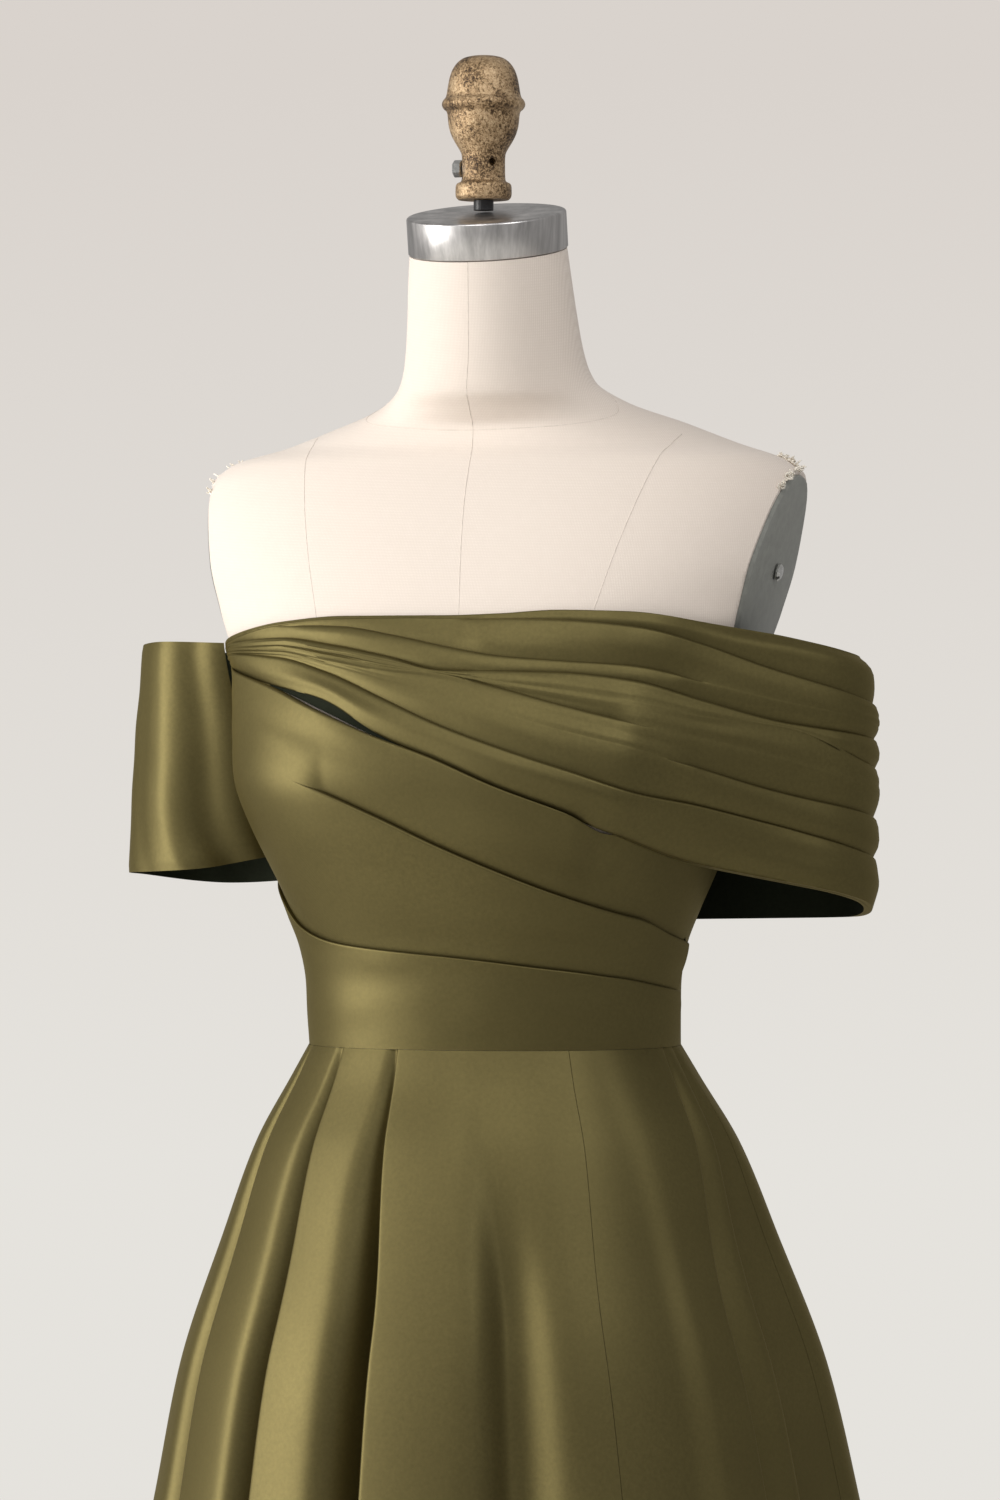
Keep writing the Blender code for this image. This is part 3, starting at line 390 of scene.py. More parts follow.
# Folds of the bodice, from the top down. Each row names a fold edge, the angles between which it stands proud of
# the strip above, and its height above the waist at every station.
DRAPE_STATIONS_DEG = (-75, -60, -45, -30, -15, 0, 15, 30, 45, 60, 75, 90, 105, 145)
FOLD_COLUMNS = ("name", "proud_from_deg", "proud_to_deg", "heights_mm")
DRAPE_FOLDS = (
    ("neckline", -75, 170, (246, 254, 261, 264, 264, 264, 265, 267, 266, 260, 253, 241, 236, 232)),
    ("first_sleeve", 2, 170, (245, 253, 260, 262.5, 262.5, 262, 262, 261, 257, 246, 229, 212, 204, 200)),
    ("first_chest", -48, 62, (244, 252, 258.5, 257.5, 252, 245, 239, 236, 233, 224, 212, 200, 192, 188)),
    ("second", -70, 170, (243, 249, 251, 246, 239, 231, 230, 229, 224, 212, 199, 190, 184, 181)),
    ("second_tuck", 76, 170, (242, 247, 248, 243, 236, 230, 224, 218, 211, 203, 196, 174, 165, 161)),
    ("third_chest", 0, 50, (241, 245.5, 245.5, 240, 233, 229, 220, 209, 198, 189, 177, 160, 152, 148)),
    ("third_sleeve", 50, 170, (240, 243.5, 242.5, 235, 226, 217, 206, 194, 183, 170, 156, 143, 134, 130)),
    ("fourth", -70, 170, (239, 241.5, 239, 229, 214, 198, 184, 170, 156, 148, 136, 119, 110, 106)),
    ("lower_edge", -75, 170, (237, 230, 221, 207, 191, 177, 160, 145, 130, 116, 105, 91, 79, 75)),
)
FRONT_STATIONS_DEG = (-90, -75, -60, -45, -30, -15, 0, 15, 30, 43, 52, 60, 75, 90)
FRONT_FOLDS = (
    ("upper_edge", -70, 42, (243, 237, 230, 221, 207, 191, 177, 160, 145, 131.5, 190, 236, 238, 235)),
    ("bust", -36, 120, (185, 183, 180, 175, 160, 142, 124, 109, 96, 87, 82, 78.5, 69, 63)),
    ("waist_panel", -120, 120, (108, 94, 73, 64.5, 61, 58.5, 56, 53, 49.5, 46.5, 44, 42, 37, 33)),
)
WAIST_PANEL_FOLDS = (FRONT_FOLDS[-1], ("waist", -120, 120, (0,) * 14))
FOLD_FADE_DEG = 10.0
BACK_TOP_MM = {"side": 243, "left_side": 235, "middle": 232}



def share_between(start, end, angles_deg):
    rise = np.clip((angles_deg - start) / FOLD_FADE_DEG, 0, 1)
    fall = np.clip((end - angles_deg) / FOLD_FADE_DEG, 0, 1)
    return smooth_step(np.minimum(rise, fall))


# The rolled edge of a fold, from behind it, over it and down its face, and the rolled top of a panel: up (mm) and
# out (share of the step)
ROLL_COLUMNS = ("up_mm", "out_share")
ROLL = (
    (-1.60, -0.04), (-0.50, -0.05), (0.45, 0.02), (0.95, 0.16), (1.15, 0.38), (1.05, 0.62), (0.70, 0.82),
    (0.10, 0.95), (-0.70, 1.00),
)
TOP_ROLL = ((0.00, 0.34), (0.40, 0.36), (0.75, 0.48), (0.90, 0.66), (0.75, 0.85), (0.30, 0.97), (-0.50, 1.00))
WRINKLE_COLUMNS = ("along_per_m", "across_per_strip", "height_mm", "phase")
WRINKLES = (
    (3.1, 0.9, 0.17, 0.4), (5.3, -1.3, 0.13, 2.1), (8.9, 0.7, 0.09, 4.4), (12.7, -0.6, 0.06, 1.2),
    (17.0, 1.1, 0.04, 3.0), (2.2, 1.9, 0.15, 5.2), (6.4, 2.3, 0.08, 0.9), (23.0, 0.4, 0.025, 2.6),
)


def wrinkle(along, across):
    total = np.zeros(np.broadcast(along, across).shape)
    for per_m, per_strip, height, phase in WRINKLES:
        total = total + height / 1000 * np.sin(2 * math.pi * (along * per_m + across * per_strip) + phase)
    return total


def strip_rows(folds, stations, angles, along, rows, first_rise, fullness, under=1.0, hollow=None):
    """Heights and reliefs of pleated cloth, row by row: from one proud fold to the next it swells, sinks behind the
    next and comes out over it in a roll. A fold's line that isn't proud at an angle leaves no mark there. The last
    strip sinks where a panel lies over it, and may end at a hollow."""
    lines = [monotone_curve(stations, np.array(row[3]) / 1000, angles) for row in folds]
    shares = [share_between(row[1], row[2], angles) for row in folds]
    gaps = [a - b for a, b in zip(lines, lines[1:])]
    reach = [gaps[-1]]
    for k in range(len(gaps) - 2, -1, -1):
        reach.insert(0, gaps[k] + (1 - shares[k + 1]) * reach[0])
    come = [np.zeros_like(angles)]
    for k in range(len(gaps) - 1):
        come.append((1 - shares[k + 1]) * (come[k] + gaps[k]))
    deep = np.zeros_like(angles) if hollow is None else np.clip(hollow / 0.005, 0, 1)
    proud = FOLD_STEP * first_rise * shares[0]
    top_size = 0.3 + 0.7 * shares[0]
    heights = [lines[0] + up / 1000 * top_size for up, _ in TOP_ROLL]
    reliefs = [proud * out for _, out in TOP_ROLL]
    below = TOP_ROLL[-1][0] / 1000 * top_size

    def relief_at(k, f, proud):
        span = come[k] + reach[k]
        done = (come[k] + f * gaps[k]) / span
        width = np.clip(span / 0.016, 0.10, 1.0)
        fall = proud * (1 - done**2)
        if k == len(gaps) - 1:
            fall = fall * under + proud * (1 - 0.3 * done**2) * (1 - under) + 0.0019 * deep * under * done**2
        swell = fullness * width * 4 * done * (1 - done)
        taper = np.minimum(1.0, np.minimum(6 * done + 0.10, 6 * (1 - done) + 0.15))
        return fall + swell + wrinkle(along, k + f) * width * taper

    for k, gap in enumerate(gaps):
        last = k == len(gaps) - 1
        if last:
            first_up = hollow if hollow is not None else np.zeros_like(angles)
        else:
            room = np.minimum(gap, gaps[k + 1])
            roll_size = np.minimum(1.0, 0.30 * room / 0.0012) * shares[k + 1]
            flat_size = np.minimum(0.0007, 0.22 * room) * (1 - shares[k + 1])
            first_up = ROLL[0][0] / 1000 * roll_size + flat_size
        start, end = lines[k] + below, lines[k + 1] + first_up
        for i in range(1, rows[k] + 1):
            f = i / rows[k]
            f = 0.65 * f + 0.35 * (1 - math.cos(math.pi * f)) / 2
            heights.append(start + (end - start) * f)
            reliefs.append(relief_at(k, f, proud))
        if last:
            break
        scale = np.clip(reach[k + 1] / 0.012, 0.20, 1.0)
        next_proud = FOLD_STEP * scale * shares[k + 1] + (1 - shares[k + 1]) * proud
        before, after = relief_at(k, 1.0, proud), relief_at(k + 1, 0.0, next_proud)
        for step, (up, out) in enumerate(ROLL[1:], 1):
            t = step / (len(ROLL) - 1)
            heights.append(lines[k + 1] + up / 1000 * roll_size + flat_size * (1 - 2 * t))
            reliefs.append(before + (after - before) * out)
        below = ROLL[-1][0] / 1000 * roll_size - flat_size
        proud = next_proud
    if hollow is not None:
        edge = reliefs[-1]
        for down, out in ((0.05, 0.75), (0.10, 0.10), (0.20, 0.0), (0.60, 0.0), (1.0, 0.0)):
            heights.append(lines[-1] + hollow * (1 - down))
            reliefs.append(edge * out - 0.0010 * deep * (1 - out))
    return np.array(heights), np.array(reliefs)


def even_columns(field, height, start_deg, end_deg, count):
    angles = np.linspace(start_deg, end_deg, 1441)
    run = run_along(field, height, angles)
    return np.interp(np.linspace(0, run[-1], count), run, angles)


def run_along(field, height, angles):
    points = field_points(field, height, angles, 0.0)
    return np.concatenate([[0], np.cumsum(np.linalg.norm(np.diff(points, axis=0), axis=1))])


def plain_inside(field, heights, angles, base, gape, count=18):
    """The wall's inner face: evenly spaced rows between its top and its hem."""
    top, hem = heights[0], heights[-1]
    rows = np.array([top + (hem - top) * f for f in np.linspace(0, 1, count)])
    return field_points(field, rows, angles, base + gape(rows, rows[0]))


def no_gape(heights, top):
    return 0.0


def pleated(
    name, node, field, folds, stations, angles, rows, first_rise, lift=0.0, fullness=0.0006,
    under=1.0, hollow=None, gape=no_gape,
):
    """A pleated panel as one cloth wall. Gape moves both its faces out, under where a hollow opens, and the hollow's
    back is given the near-black second material as painted shade.
    """
    along = run_along(field, 0.120, angles)
    heights, reliefs = strip_rows(folds, stations, angles, along, rows, first_rise, fullness, under, hollow)
    base = SKIN_GAP + lift
    outer_base = base + CLOTH + gape(heights, heights[0])
    outer = field_points(field, heights, angles, outer_base + np.maximum(reliefs, -0.0010))
    inner = plain_inside(field, heights, angles, base - (0.0010 if hollow is not None else 0.0), gape)
    piece = add_cloth(name, node, outer, inner)
    if hollow is not None:
        deep = (hollow[:-1] + hollow[1:]) / 2 > 0.0008
        columns, last_row = len(angles) - 1, len(heights) - 1
        # The back of the hollow takes the near-black second material: painted shade in the recess.
        for row in range(last_row - 5, last_row):
            for column in np.flatnonzero(deep):
                piece.data.polygons[row * columns + int(column)].material_index = 1
    return piece


DRAPE_LIFT = 0.0024
DRAPE_LIFT_FROM_DEG = 33.0
DRAPE_LIFT_TO_DEG = 45.0
DRAPE_END_DEG = 138.0
HOLLOW = {"at_deg": -28.0, "spread_deg": 13.0, "tall": 0.0072, "gape": 0.0030, "fade": 0.030}


def bell(angles, at, spread):
    return np.exp(-(((angles - at) / spread) ** 2))


def over_the_arm(angles):
    return smooth_step((angles - 52) / 22) * smooth_step((150 - angles) / 25)


def make_drape(band):
    angles = even_columns(band, 0.180, -75, DRAPE_END_DEG, 420)
    t = smooth_step((angles - DRAPE_LIFT_FROM_DEG) / (DRAPE_LIFT_TO_DEG - DRAPE_LIFT_FROM_DEG))
    rows = (9, 6, 6, 6, 6, 6, 7, 12)
    arm = over_the_arm(angles)
    hollow = HOLLOW["tall"] * bell(angles, HOLLOW["at_deg"], HOLLOW["spread_deg"])
    hollow = np.where(hollow < 0.0002, 0.0002, hollow) - 0.0010 * bell(angles, 39.0, 5.0)

    def turned_in(heights, top):
        return -0.0062 * arm * np.clip(1 - (top - heights) / 0.011, 0, 1) ** 2.2

    pleated(
        "drape", "upper_drape", band, DRAPE_FOLDS, DRAPE_STATIONS_DEG, angles, rows, 0.25, DRAPE_LIFT * t,
        0.0009 + 0.0012 * arm, share_between(-80, 44, angles), hollow, turned_in,
    )


def make_bodice(bodice):
    angles = np.concatenate([
        even_columns(bodice, 0.120, -90, 40, 200)[:-1],
        np.linspace(40, 60, 36)[:-1],
        even_columns(bodice, 0.120, 60, 90, 30),
    ])

    def standing_off(heights, top):
        near = np.clip(1 - (top - heights) / HOLLOW["fade"], 0, 1) ** 2
        return HOLLOW["gape"] * bell(angles, HOLLOW["at_deg"], HOLLOW["spread_deg"] * 1.2) * near

    pleated(
        "front", "bodice_front", bodice, FRONT_FOLDS, FRONT_STATIONS_DEG, angles, (40, 40), 1.0, 0.0, 0.0006,
        gape=standing_off,
    )
    angles = even_columns(bodice, 0.030, -90, 90, 240)
    pleated(
        "waist_panel", "waist_panel_front", bodice, WAIST_PANEL_FOLDS, FRONT_STATIONS_DEG, angles, (34,), 0.7, 0.0,
        0.0003,
    )
    for name, node, start, end, top in (
        ("back_left", "bodice_back_left", 90, 180, BACK_TOP_MM["left_side"]),
        ("back_right", "bodice_back_right", -180, -90, BACK_TOP_MM["side"]),
    ):
        angles = even_columns(bodice, 0.120, start, end, 120)
        middle = BACK_TOP_MM["middle"]
        stations, tops = (90, 105, 150, 180), (top, (top + middle) / 2, middle, middle)
        if start < 0:
            stations, tops = tuple(-angle for angle in stations[::-1]), tops[::-1]
        lines = (("top", 0, 0, tops), ("waist", 0, 0, (0, 0, 0, 0)))
        pleated(name, node, bodice, lines, stations, angles, (60,), 0.0, 0.0, 0.0)


SLEEVE_COLUMNS = ("share", "top", "hem")
SLEEVE_ROWS = (
    (0.00, 0.2500, 0.1165),
    (0.20, 0.2510, 0.1080),
    (0.50, 0.2475, 0.1040),
    (0.70, 0.2460, 0.0975),
    (0.80, 0.2452, 0.0992),
    (0.88, 0.2448, 0.1040),
    (0.95, 0.2443, 0.1115),
    (1.00, 0.2440, 0.1150),
)
SLEEVE_FOLD_COLUMNS = ("share", "width", "top_mm", "hem_mm")
SLEEVE_FOLDS = (
    (0.10, 0.055, -4.0, -6.5), (0.21, 0.030, 0.4, 1.2), (0.30, 0.035, -0.4, -1.4), (0.52, 0.060, 0.3, 0.8),
    (0.68, 0.040, -0.5, -1.8), (0.80, 0.035, 0.4, 1.2), (0.90, 0.030, -0.8, -2.2),
)


def sleeve_reach(bodice, height, sign):
    """How far round the right arm's oval the sleeve runs, at a level, before it meets the bodice."""
    turns = -90.0 + sign * np.arange(0.0, 200.0, 0.25)
    clear = np.ones(len(turns), bool)
    for offset in (0.0, CLOTH):
        x, y = arm_outline(RIGHT_ARM_ROWS, height, turns, offset).T
        y = y - body_middle(height)
        bearing = np.degrees(np.arctan2(x, -y))
        wall = field_radius(bodice, np.full(len(turns), height), bearing, SKIN_GAP + CLOTH + 0.0008)
        clear &= np.hypot(x, y) > wall
    return turns[np.argmin(clear) - 1]


def make_sleeve(bodice):
    shares = np.linspace(0, 1, 180)
    top, hem = (monotone_curve(*np.array(SLEEVE_ROWS).T[[0, k]], shares) for k in (1, 2))
    levels = np.linspace(0.09, 0.255, 40)
    reach = {sign: [sleeve_reach(bodice, level, sign) for level in levels] for sign in (1, -1)}
    smooth = {sign: np.polyval(np.polyfit(levels, reach[sign], 4), levels) for sign in (1, -1)}
    outer, inner = [], []
    for f in np.linspace(0, 1, 70):
        heights = top + (hem - top) * f
        front = np.interp(heights, levels, smooth[1]) - 0.5
        back = np.interp(heights, levels, smooth[-1]) + 0.5
        turns = front + (back - front) * shares
        dip = sum(
            (a + (b - a) * f) / 1000 * np.exp(-(((shares - at) / width) ** 2)) for at, width, a, b in SLEEVE_FOLDS
        )
        edge = 0.0005 * math.exp(-((f / 0.02) ** 2)) + 0.0005 * math.exp(-(((1 - f) / 0.02) ** 2))
        dip = dip + wrinkle(shares * 0.3, f * 1.7) * 0.8
        outer.append(sleeve_line(heights, turns, CLOTH + dip - edge))
        inner.append(sleeve_line(heights, turns, dip * 0.9))
    add_cloth("sleeve", "sleeve_right", np.array(outer), np.array(inner[::4] + [inner[-1]]))


def sleeve_line(heights, turns, offsets):
    arm = {name: np.empty(len(turns)) for name in ARM_COLUMNS}
    table = np.array(RIGHT_ARM_ROWS)
    for k, name in enumerate(ARM_COLUMNS):
        arm[name] = monotone_curve(table[:, 0], table[:, k], heights)
    angles = np.radians(turns)
    x = arm["centre_x"] + (arm["half_width"] + offsets) * np.sin(angles)
    y = arm["centre_y"] - (arm["half_depth"] + offsets) * np.cos(angles)
    return np.stack([x, y, WAIST_Z + heights], axis=1)


# The skirt: its outline at each level, and its folds as dips that travel round as they fall
SKIRT_COLUMNS = ("height", "half_width", "front", "back", "middle", "squareness")
SKIRT_ROWS = (
    (-1.060, 0.3780, -0.302, 0.414, 0.056, 2.00),
    (-0.800, 0.3250, -0.253, 0.361, 0.054, 2.00),
    (-0.500, 0.2650, -0.198, 0.298, 0.050, 2.00),
    (-0.280, 0.2210, -0.161, 0.247, 0.043, 2.00),
    (-0.200, 0.2035, -0.150, 0.222, 0.036, 2.00),
    (-0.120, 0.1750, -0.128, 0.186, 0.029, 2.00),
    (-0.060, 0.1515, -0.106, 0.154, 0.024, 2.05),
    (-0.020, 0.1283, -0.087, 0.123, 0.020, 2.10),
    (0.000, 0.1166, -0.0791, 0.1071, 0.019, 2.15),
)
HIP_H = -0.170
OPEN_H = -0.060
SKIRT_FOLD_COLUMNS = (
    "name", "waist_deg", "hip_deg", "hem_deg", "waist_depth", "open_depth", "hip_depth", "hem_depth", "near_deg",
    "far_deg",
)
SKIRT_FOLDS = (
    ("back_right_1", -168, -168, -168, 0.0004, 0.0020, 0.006, 0.024, 7.0, 7.0),
    ("back_right_2", -144, -143, -142, 0.0004, 0.0030, 0.009, 0.028, 6.0, 6.0),
    ("back_right_3", -119, -117, -115, 0.0004, 0.0025, 0.007, 0.026, 6.0, 6.0),
    ("side_right", -93, -88, -84, 0.0004, 0.0020, 0.006, 0.024, 5.0, 5.0),
    ("pleat_0", -67, -58.5, -50, 0.0010, 0.0070, 0.012, 0.024, 2.6, 1.3),
    ("pleat_1", -45, -35.5, -33, 0.0016, 0.0135, 0.029, 0.043, 3.4, 0.9),
    ("pleat_2", -21.5, -12.0, -11, 0.0018, 0.0145, 0.033, 0.048, 5.0, 0.9),
    ("valley", 11, 17.5, 18.0, 0.0004, 0.0035, 0.017, 0.037, 6.4, 14.0),
    ("beside_seam", 50, 50, 50, 0.0003, 0.0010, 0.003, 0.018, 5.0, 5.0),
    ("pleat_4", 79, 65, 65.7, 0.0010, 0.0095, 0.020, 0.035, 1.1, 5.4),
    ("side_left", 86, 79.5, 81, 0.0010, 0.0080, 0.016, 0.028, 1.1, 4.2),
    ("back_left_3", 116, 113, 112, 0.0004, 0.0025, 0.008, 0.026, 6.0, 6.0),
    ("back_left_2", 140, 139, 138, 0.0004, 0.0030, 0.009, 0.028, 6.0, 6.0),
    ("back_left_1", 164, 164, 164, 0.0004, 0.0020, 0.006, 0.024, 7.0, 7.0),
)
SKIRT_SEAMS = {"front": (40.6, 35.7, 37.0), "left": (90.0, 92.0, 92.0), "right": (-90.0, -84.5, -80.0)}
SKIRT_PANELS = (
    ("skirt_front_right", -90.0, 40.6),
    ("skirt_front_left", 40.6, 90.0),
    ("skirt_back_left", 90.0, 180.0),
    ("skirt_back_right", 180.0, 270.0),
)


def travel(waist, hip, hem, height):
    return float(monotone_curve((hem_h, HIP_H, 0.0), (hem, hip, waist), height))


hem_h = -SKIRT_LENGTH


def skirt_direction(places_deg, height):
    """Where a place named by its angle at the waist has moved to, at a level."""
    marks = [(row[1], travel(*row[1:4], height)) for row in SKIRT_FOLDS]
    marks += [(seam[0], travel(*seam, height)) for seam in SKIRT_SEAMS.values()]
    marks = np.array(sorted(marks))
    full = np.concatenate([marks - 360.0, marks, marks + 360.0])
    return monotone_curve(full[:, 0], full[:, 1], places_deg)


# Pleats lie narrow at the waist and have opened at this level; an edge sharper than this keeps its width
PLEAT_NARROW = 0.42
PLEAT_OPEN_H = 0.100
SHARP_DEG = 2.0


def skirt_dip(places_deg, height):
    dip = np.zeros_like(places_deg)
    opened = PLEAT_NARROW + (1 - PLEAT_NARROW) * float(smooth_step(-height / PLEAT_OPEN_H))
    for _, place, _, _, waist, half_open, hip, hem, near, far in SKIRT_FOLDS:
        depth = float(monotone_curve((hem_h, HIP_H, OPEN_H, 0.0), (hem, hip, half_open, waist), height))
        away = (places_deg - place + 180.0) % 360.0 - 180.0
        pleat = min(near, far) < 4.5
        widths = [side * (opened if pleat and side > SHARP_DEG else 1.0) for side in (near, far)]
        width = np.where(away < 0, *widths)
        dip += depth * np.exp(-np.abs(away / width) ** 2.0)
    return dip


def skirt_places(start, end):
    """Columns of a panel, closest together at the pleats' sharp edges."""
    fine = np.arange(start, end + 0.001, 0.02)
    density = np.ones(len(fine))
    for _, place, *_, near, far in SKIRT_FOLDS:
        if min(near, far) < SHARP_DEG:
            edge = place + (0.9 * far if far < near else -0.9 * near)
            for turn in (0.0, 360.0):
                density += 6.0 * bell(fine, edge + turn, 1.3)
    run = np.concatenate([[0], np.cumsum((density[1:] + density[:-1]) / 2)])
    return np.interp(np.linspace(0, run[-1], int(run[-1] * 0.02 * 2.9)), run, fine)


def skirt_points(places_deg, heights, ripple=True):
    rows = []
    for height in heights:
        section = table_at(SKIRT_COLUMNS, SKIRT_ROWS, height)
        angles = skirt_direction(places_deg, height)
        wrapped = (angles + 180.0) % 360.0 - 180.0
        radius = superellipse_radius(section, wrapped) - skirt_dip(places_deg, height)
        if ripple:
            grow = float(smooth_step(-height / 0.05))
            radius = radius + wrinkle(np.radians(places_deg) * 0.16, -height * 2.0) * 0.7 * grow
        plan = plan_points(section["middle"], radius, angles)
        rows.append(np.column_stack([plan, np.full(len(plan), WAIST_Z + height)]))
    return np.array(rows)


def make_skirt():
    levels = np.concatenate([
        np.linspace(-SEAM_GAP / 2, -0.060, 26)[:-1], np.linspace(-0.060, -0.300, 46)[:-1],
        np.linspace(-0.300, -SKIRT_LENGTH, 48),
    ])
    for name, start, end in SKIRT_PANELS:
        places = skirt_places(start, end)
        outer = skirt_points(places, levels)
        across = skirt_points(places + 0.02, levels) - skirt_points(places - 0.02, levels)
        low, high = np.clip(levels - 0.001, -SKIRT_LENGTH, 0), np.clip(levels + 0.001, -SKIRT_LENGTH, 0)
        along = skirt_points(places, high) - skirt_points(places, low)
        normal = np.cross(across, along)
        normal /= np.linalg.norm(normal, axis=-1, keepdims=True)
        inner = outer - normal * CLOTH
        inner[..., 2] = outer[..., 2]
        for grid in (outer, inner):
            for edge, beside in ((0, 1), (-1, -2)):
                step = grid[:, beside] - grid[:, edge]
                grid[:, edge] += step * (SEAM_GAP / 2 / np.linalg.norm(step, axis=-1, keepdims=True))
        kept = sorted(set(range(0, len(levels), 3)) | {len(levels) - 1})
        add_cloth(name.replace("skirt", "skirt_cloth"), name, outer, inner[kept])


# Materials


def new_material(name, **inputs):
    made = bpy.data.materials.new(name)
    made.use_nodes = True
    shader = made.node_tree.nodes["Principled BSDF"]
    for key, value in inputs.items():
        shader.inputs[key.replace("_", " ")].default_value = value
    return made, made.node_tree, shader


def node(tree, kind, inputs=(), **settings):
    made = tree.nodes.new(kind)
    for key, value in settings.items():
        setattr(made, key, value)
    for key, value in dict(inputs).items():
        if isinstance(value, bpy.types.NodeSocket):
            tree.links.new(value, made.inputs[key])
        else:
            made.inputs[key].default_value = value
    return made


def object_place(tree):
    return node(tree, "ShaderNodeTexCoord").outputs["Object"]


def colour_ramp(tree, value, stops):
    ramp = node(tree, "ShaderNodeValToRGB", {"Fac": value})
    elements = ramp.color_ramp.elements
    while len(elements) < len(stops):
        elements.new(0.5)
    for element, (position, colour) in zip(elements, stops):
        element.position = position
        element.color = (*colour, 1.0)
    return ramp.outputs["Color"]


def bump(tree, shader, height, strength, distance):
    made = node(tree, "ShaderNodeBump", {"Height": height, "Strength": strength, "Distance": distance})
    tree.links.new(made.outputs["Normal"], shader.inputs["Normal"])
    return made


def make_satin(name, dark, light, metallic, roughness, level, tint):
    """Satin: fine threads whose gloss keeps most of the cloth's colour."""
    made, tree, shader = new_material(name, Metallic=metallic, Roughness=roughness)
    place = object_place(tree)
    grain = node(tree, "ShaderNodeTexNoise", {"Vector": place, "Scale": 420.0, "Detail": 3.0, "Roughness": 0.6})
    broad = node(tree, "ShaderNodeTexNoise", {"Vector": place, "Scale": 9.0, "Detail": 2.0})
    mixed = node(
        tree, "ShaderNodeMath", {0: grain.outputs["Fac"], 1: broad.outputs["Fac"]}, operation="MULTIPLY_ADD"
    )
    mixed.inputs[2].default_value = 0.26
    colour = colour_ramp(tree, mixed.outputs["Value"], ((0.30, dark), (0.78, light)))
    tree.links.new(colour, shader.inputs["Base Color"])
    threads = node(
        tree, "ShaderNodeTexWave", {"Vector": place, "Scale": 900.0, "Distortion": 1.5, "Detail": 1.0},
        wave_type="BANDS", bands_direction="DIAGONAL",
    )
    relief = node(tree, "ShaderNodeMath", {0: grain.outputs["Fac"], 1: threads.outputs["Fac"]}, operation="ADD")
    bump(tree, shader, relief.outputs["Value"], 0.10, 0.0002)
    shader.inputs["Specular Tint"].default_value = (*tint, 1.0)
    shader.inputs["Specular IOR Level"].default_value = level
    return made


def make_linen():
    made, tree, shader = new_material("linen_cover", Roughness=0.85, Sheen_Weight=0.15, Sheen_Roughness=0.5)
    place = object_place(tree)
    weave = [
        node(tree, "ShaderNodeTexWave", {"Vector": place, "Scale": 330.0, "Distortion": 1.2, "Detail": 2.0},
             wave_type="BANDS", bands_direction=direction)
        for direction in ("X", "Z")
    ]
    threads = node(tree, "ShaderNodeMath", {0: weave[0].outputs["Fac"], 1: weave[1].outputs["Fac"]}, operation="MULTIPLY")
    slubs = node(tree, "ShaderNodeTexNoise", {"Vector": place, "Scale": 160.0, "Detail": 4.0, "Roughness": 0.7})
    mixed = node(tree, "ShaderNodeMath", {0: threads.outputs["Value"], 1: slubs.outputs["Fac"]}, operation="MULTIPLY_ADD")
    mixed.inputs[2].default_value = 0.25
    colour = colour_ramp(
        tree, mixed.outputs["Value"], ((0.10, (0.62, 0.535, 0.465)), (0.42, (0.715, 0.635, 0.565)), (0.9, (0.77, 0.69, 0.62)))
    )
    tree.links.new(colour, shader.inputs["Base Color"])
    bump(tree, shader, mixed.outputs["Value"], 0.35, 0.0004)
    return made


def make_metal(name, colour, roughness, scale, stretch, strength=0.12, metallic=1.0, low=0.80):
    made, tree, shader = new_material(name, Metallic=metallic)
    place = object_place(tree)
    stretched = node(tree, "ShaderNodeMapping", {"Vector": place, "Scale": stretch})
    lines = node(
        tree, "ShaderNodeTexNoise", {"Vector": stretched.outputs["Vector"], "Scale": scale, "Detail": 5.0, "Roughness": 0.7}
    )
    low = tuple(low * c for c in colour)
    tree.links.new(colour_ramp(tree, lines.outputs["Fac"], ((0.35, low), (0.65, colour))), shader.inputs["Base Color"])
    rough = node(tree, "ShaderNodeMapRange", {"Value": lines.outputs["Fac"], "To Min": roughness * 0.75, "To Max": roughness * 1.3})
    tree.links.new(rough.outputs["Result"], shader.inputs["Roughness"])
    bump(tree, shader, lines.outputs["Fac"], strength, 0.0002)
    return made


def make_aged_gold():
    made, tree, shader = new_material("aged_gold", Metallic=0.55, Roughness=0.42)
    place = object_place(tree)
    crackle = node(tree, "ShaderNodeTexNoise", {"Vector": place, "Scale": 640.0, "Detail": 6.0, "Roughness": 0.75, "Distortion": 0.8})
    patches = node(tree, "ShaderNodeTexNoise", {"Vector": place, "Scale": 60.0, "Detail": 3.0})
    mixed = node(tree, "ShaderNodeMath", {0: patches.outputs["Fac"], 1: 0.45}, operation="MULTIPLY")
    mixed = node(tree, "ShaderNodeMath", {0: crackle.outputs["Fac"], 1: mixed.outputs["Value"]}, operation="ADD")
    colour = colour_ramp(
        tree, mixed.outputs["Value"],
        (
            (0.60, (0.035, 0.018, 0.008)), (0.67, (0.15, 0.09, 0.04)), (0.76, (0.40, 0.27, 0.145)),
            (0.95, (0.66, 0.50, 0.32)),
        ),
    )
    tree.links.new(colour, shader.inputs["Base Color"])
    bump(tree, shader, crackle.outputs["Fac"], 0.55, 0.0008)
    return made


def make_painted(name, colour, roughness):
    made, tree, shader = new_material(name, Metallic=0.2)
    place = object_place(tree)
    peel = node(tree, "ShaderNodeTexNoise", {"Vector": place, "Scale": 350.0, "Detail": 3.0})
    worn = tuple(min(1.0, 1.5 * c) for c in colour)
    tree.links.new(colour_ramp(tree, peel.outputs["Fac"], ((0.4, colour), (0.8, worn))), shader.inputs["Base Color"])
    rough = node(tree, "ShaderNodeMapRange", {"Value": peel.outputs["Fac"], "To Min": roughness * 0.8, "To Max": roughness * 1.25})
    tree.links.new(rough.outputs["Result"], shader.inputs["Roughness"])
    bump(tree, shader, peel.outputs["Fac"], 0.15, 0.0002)
    return made


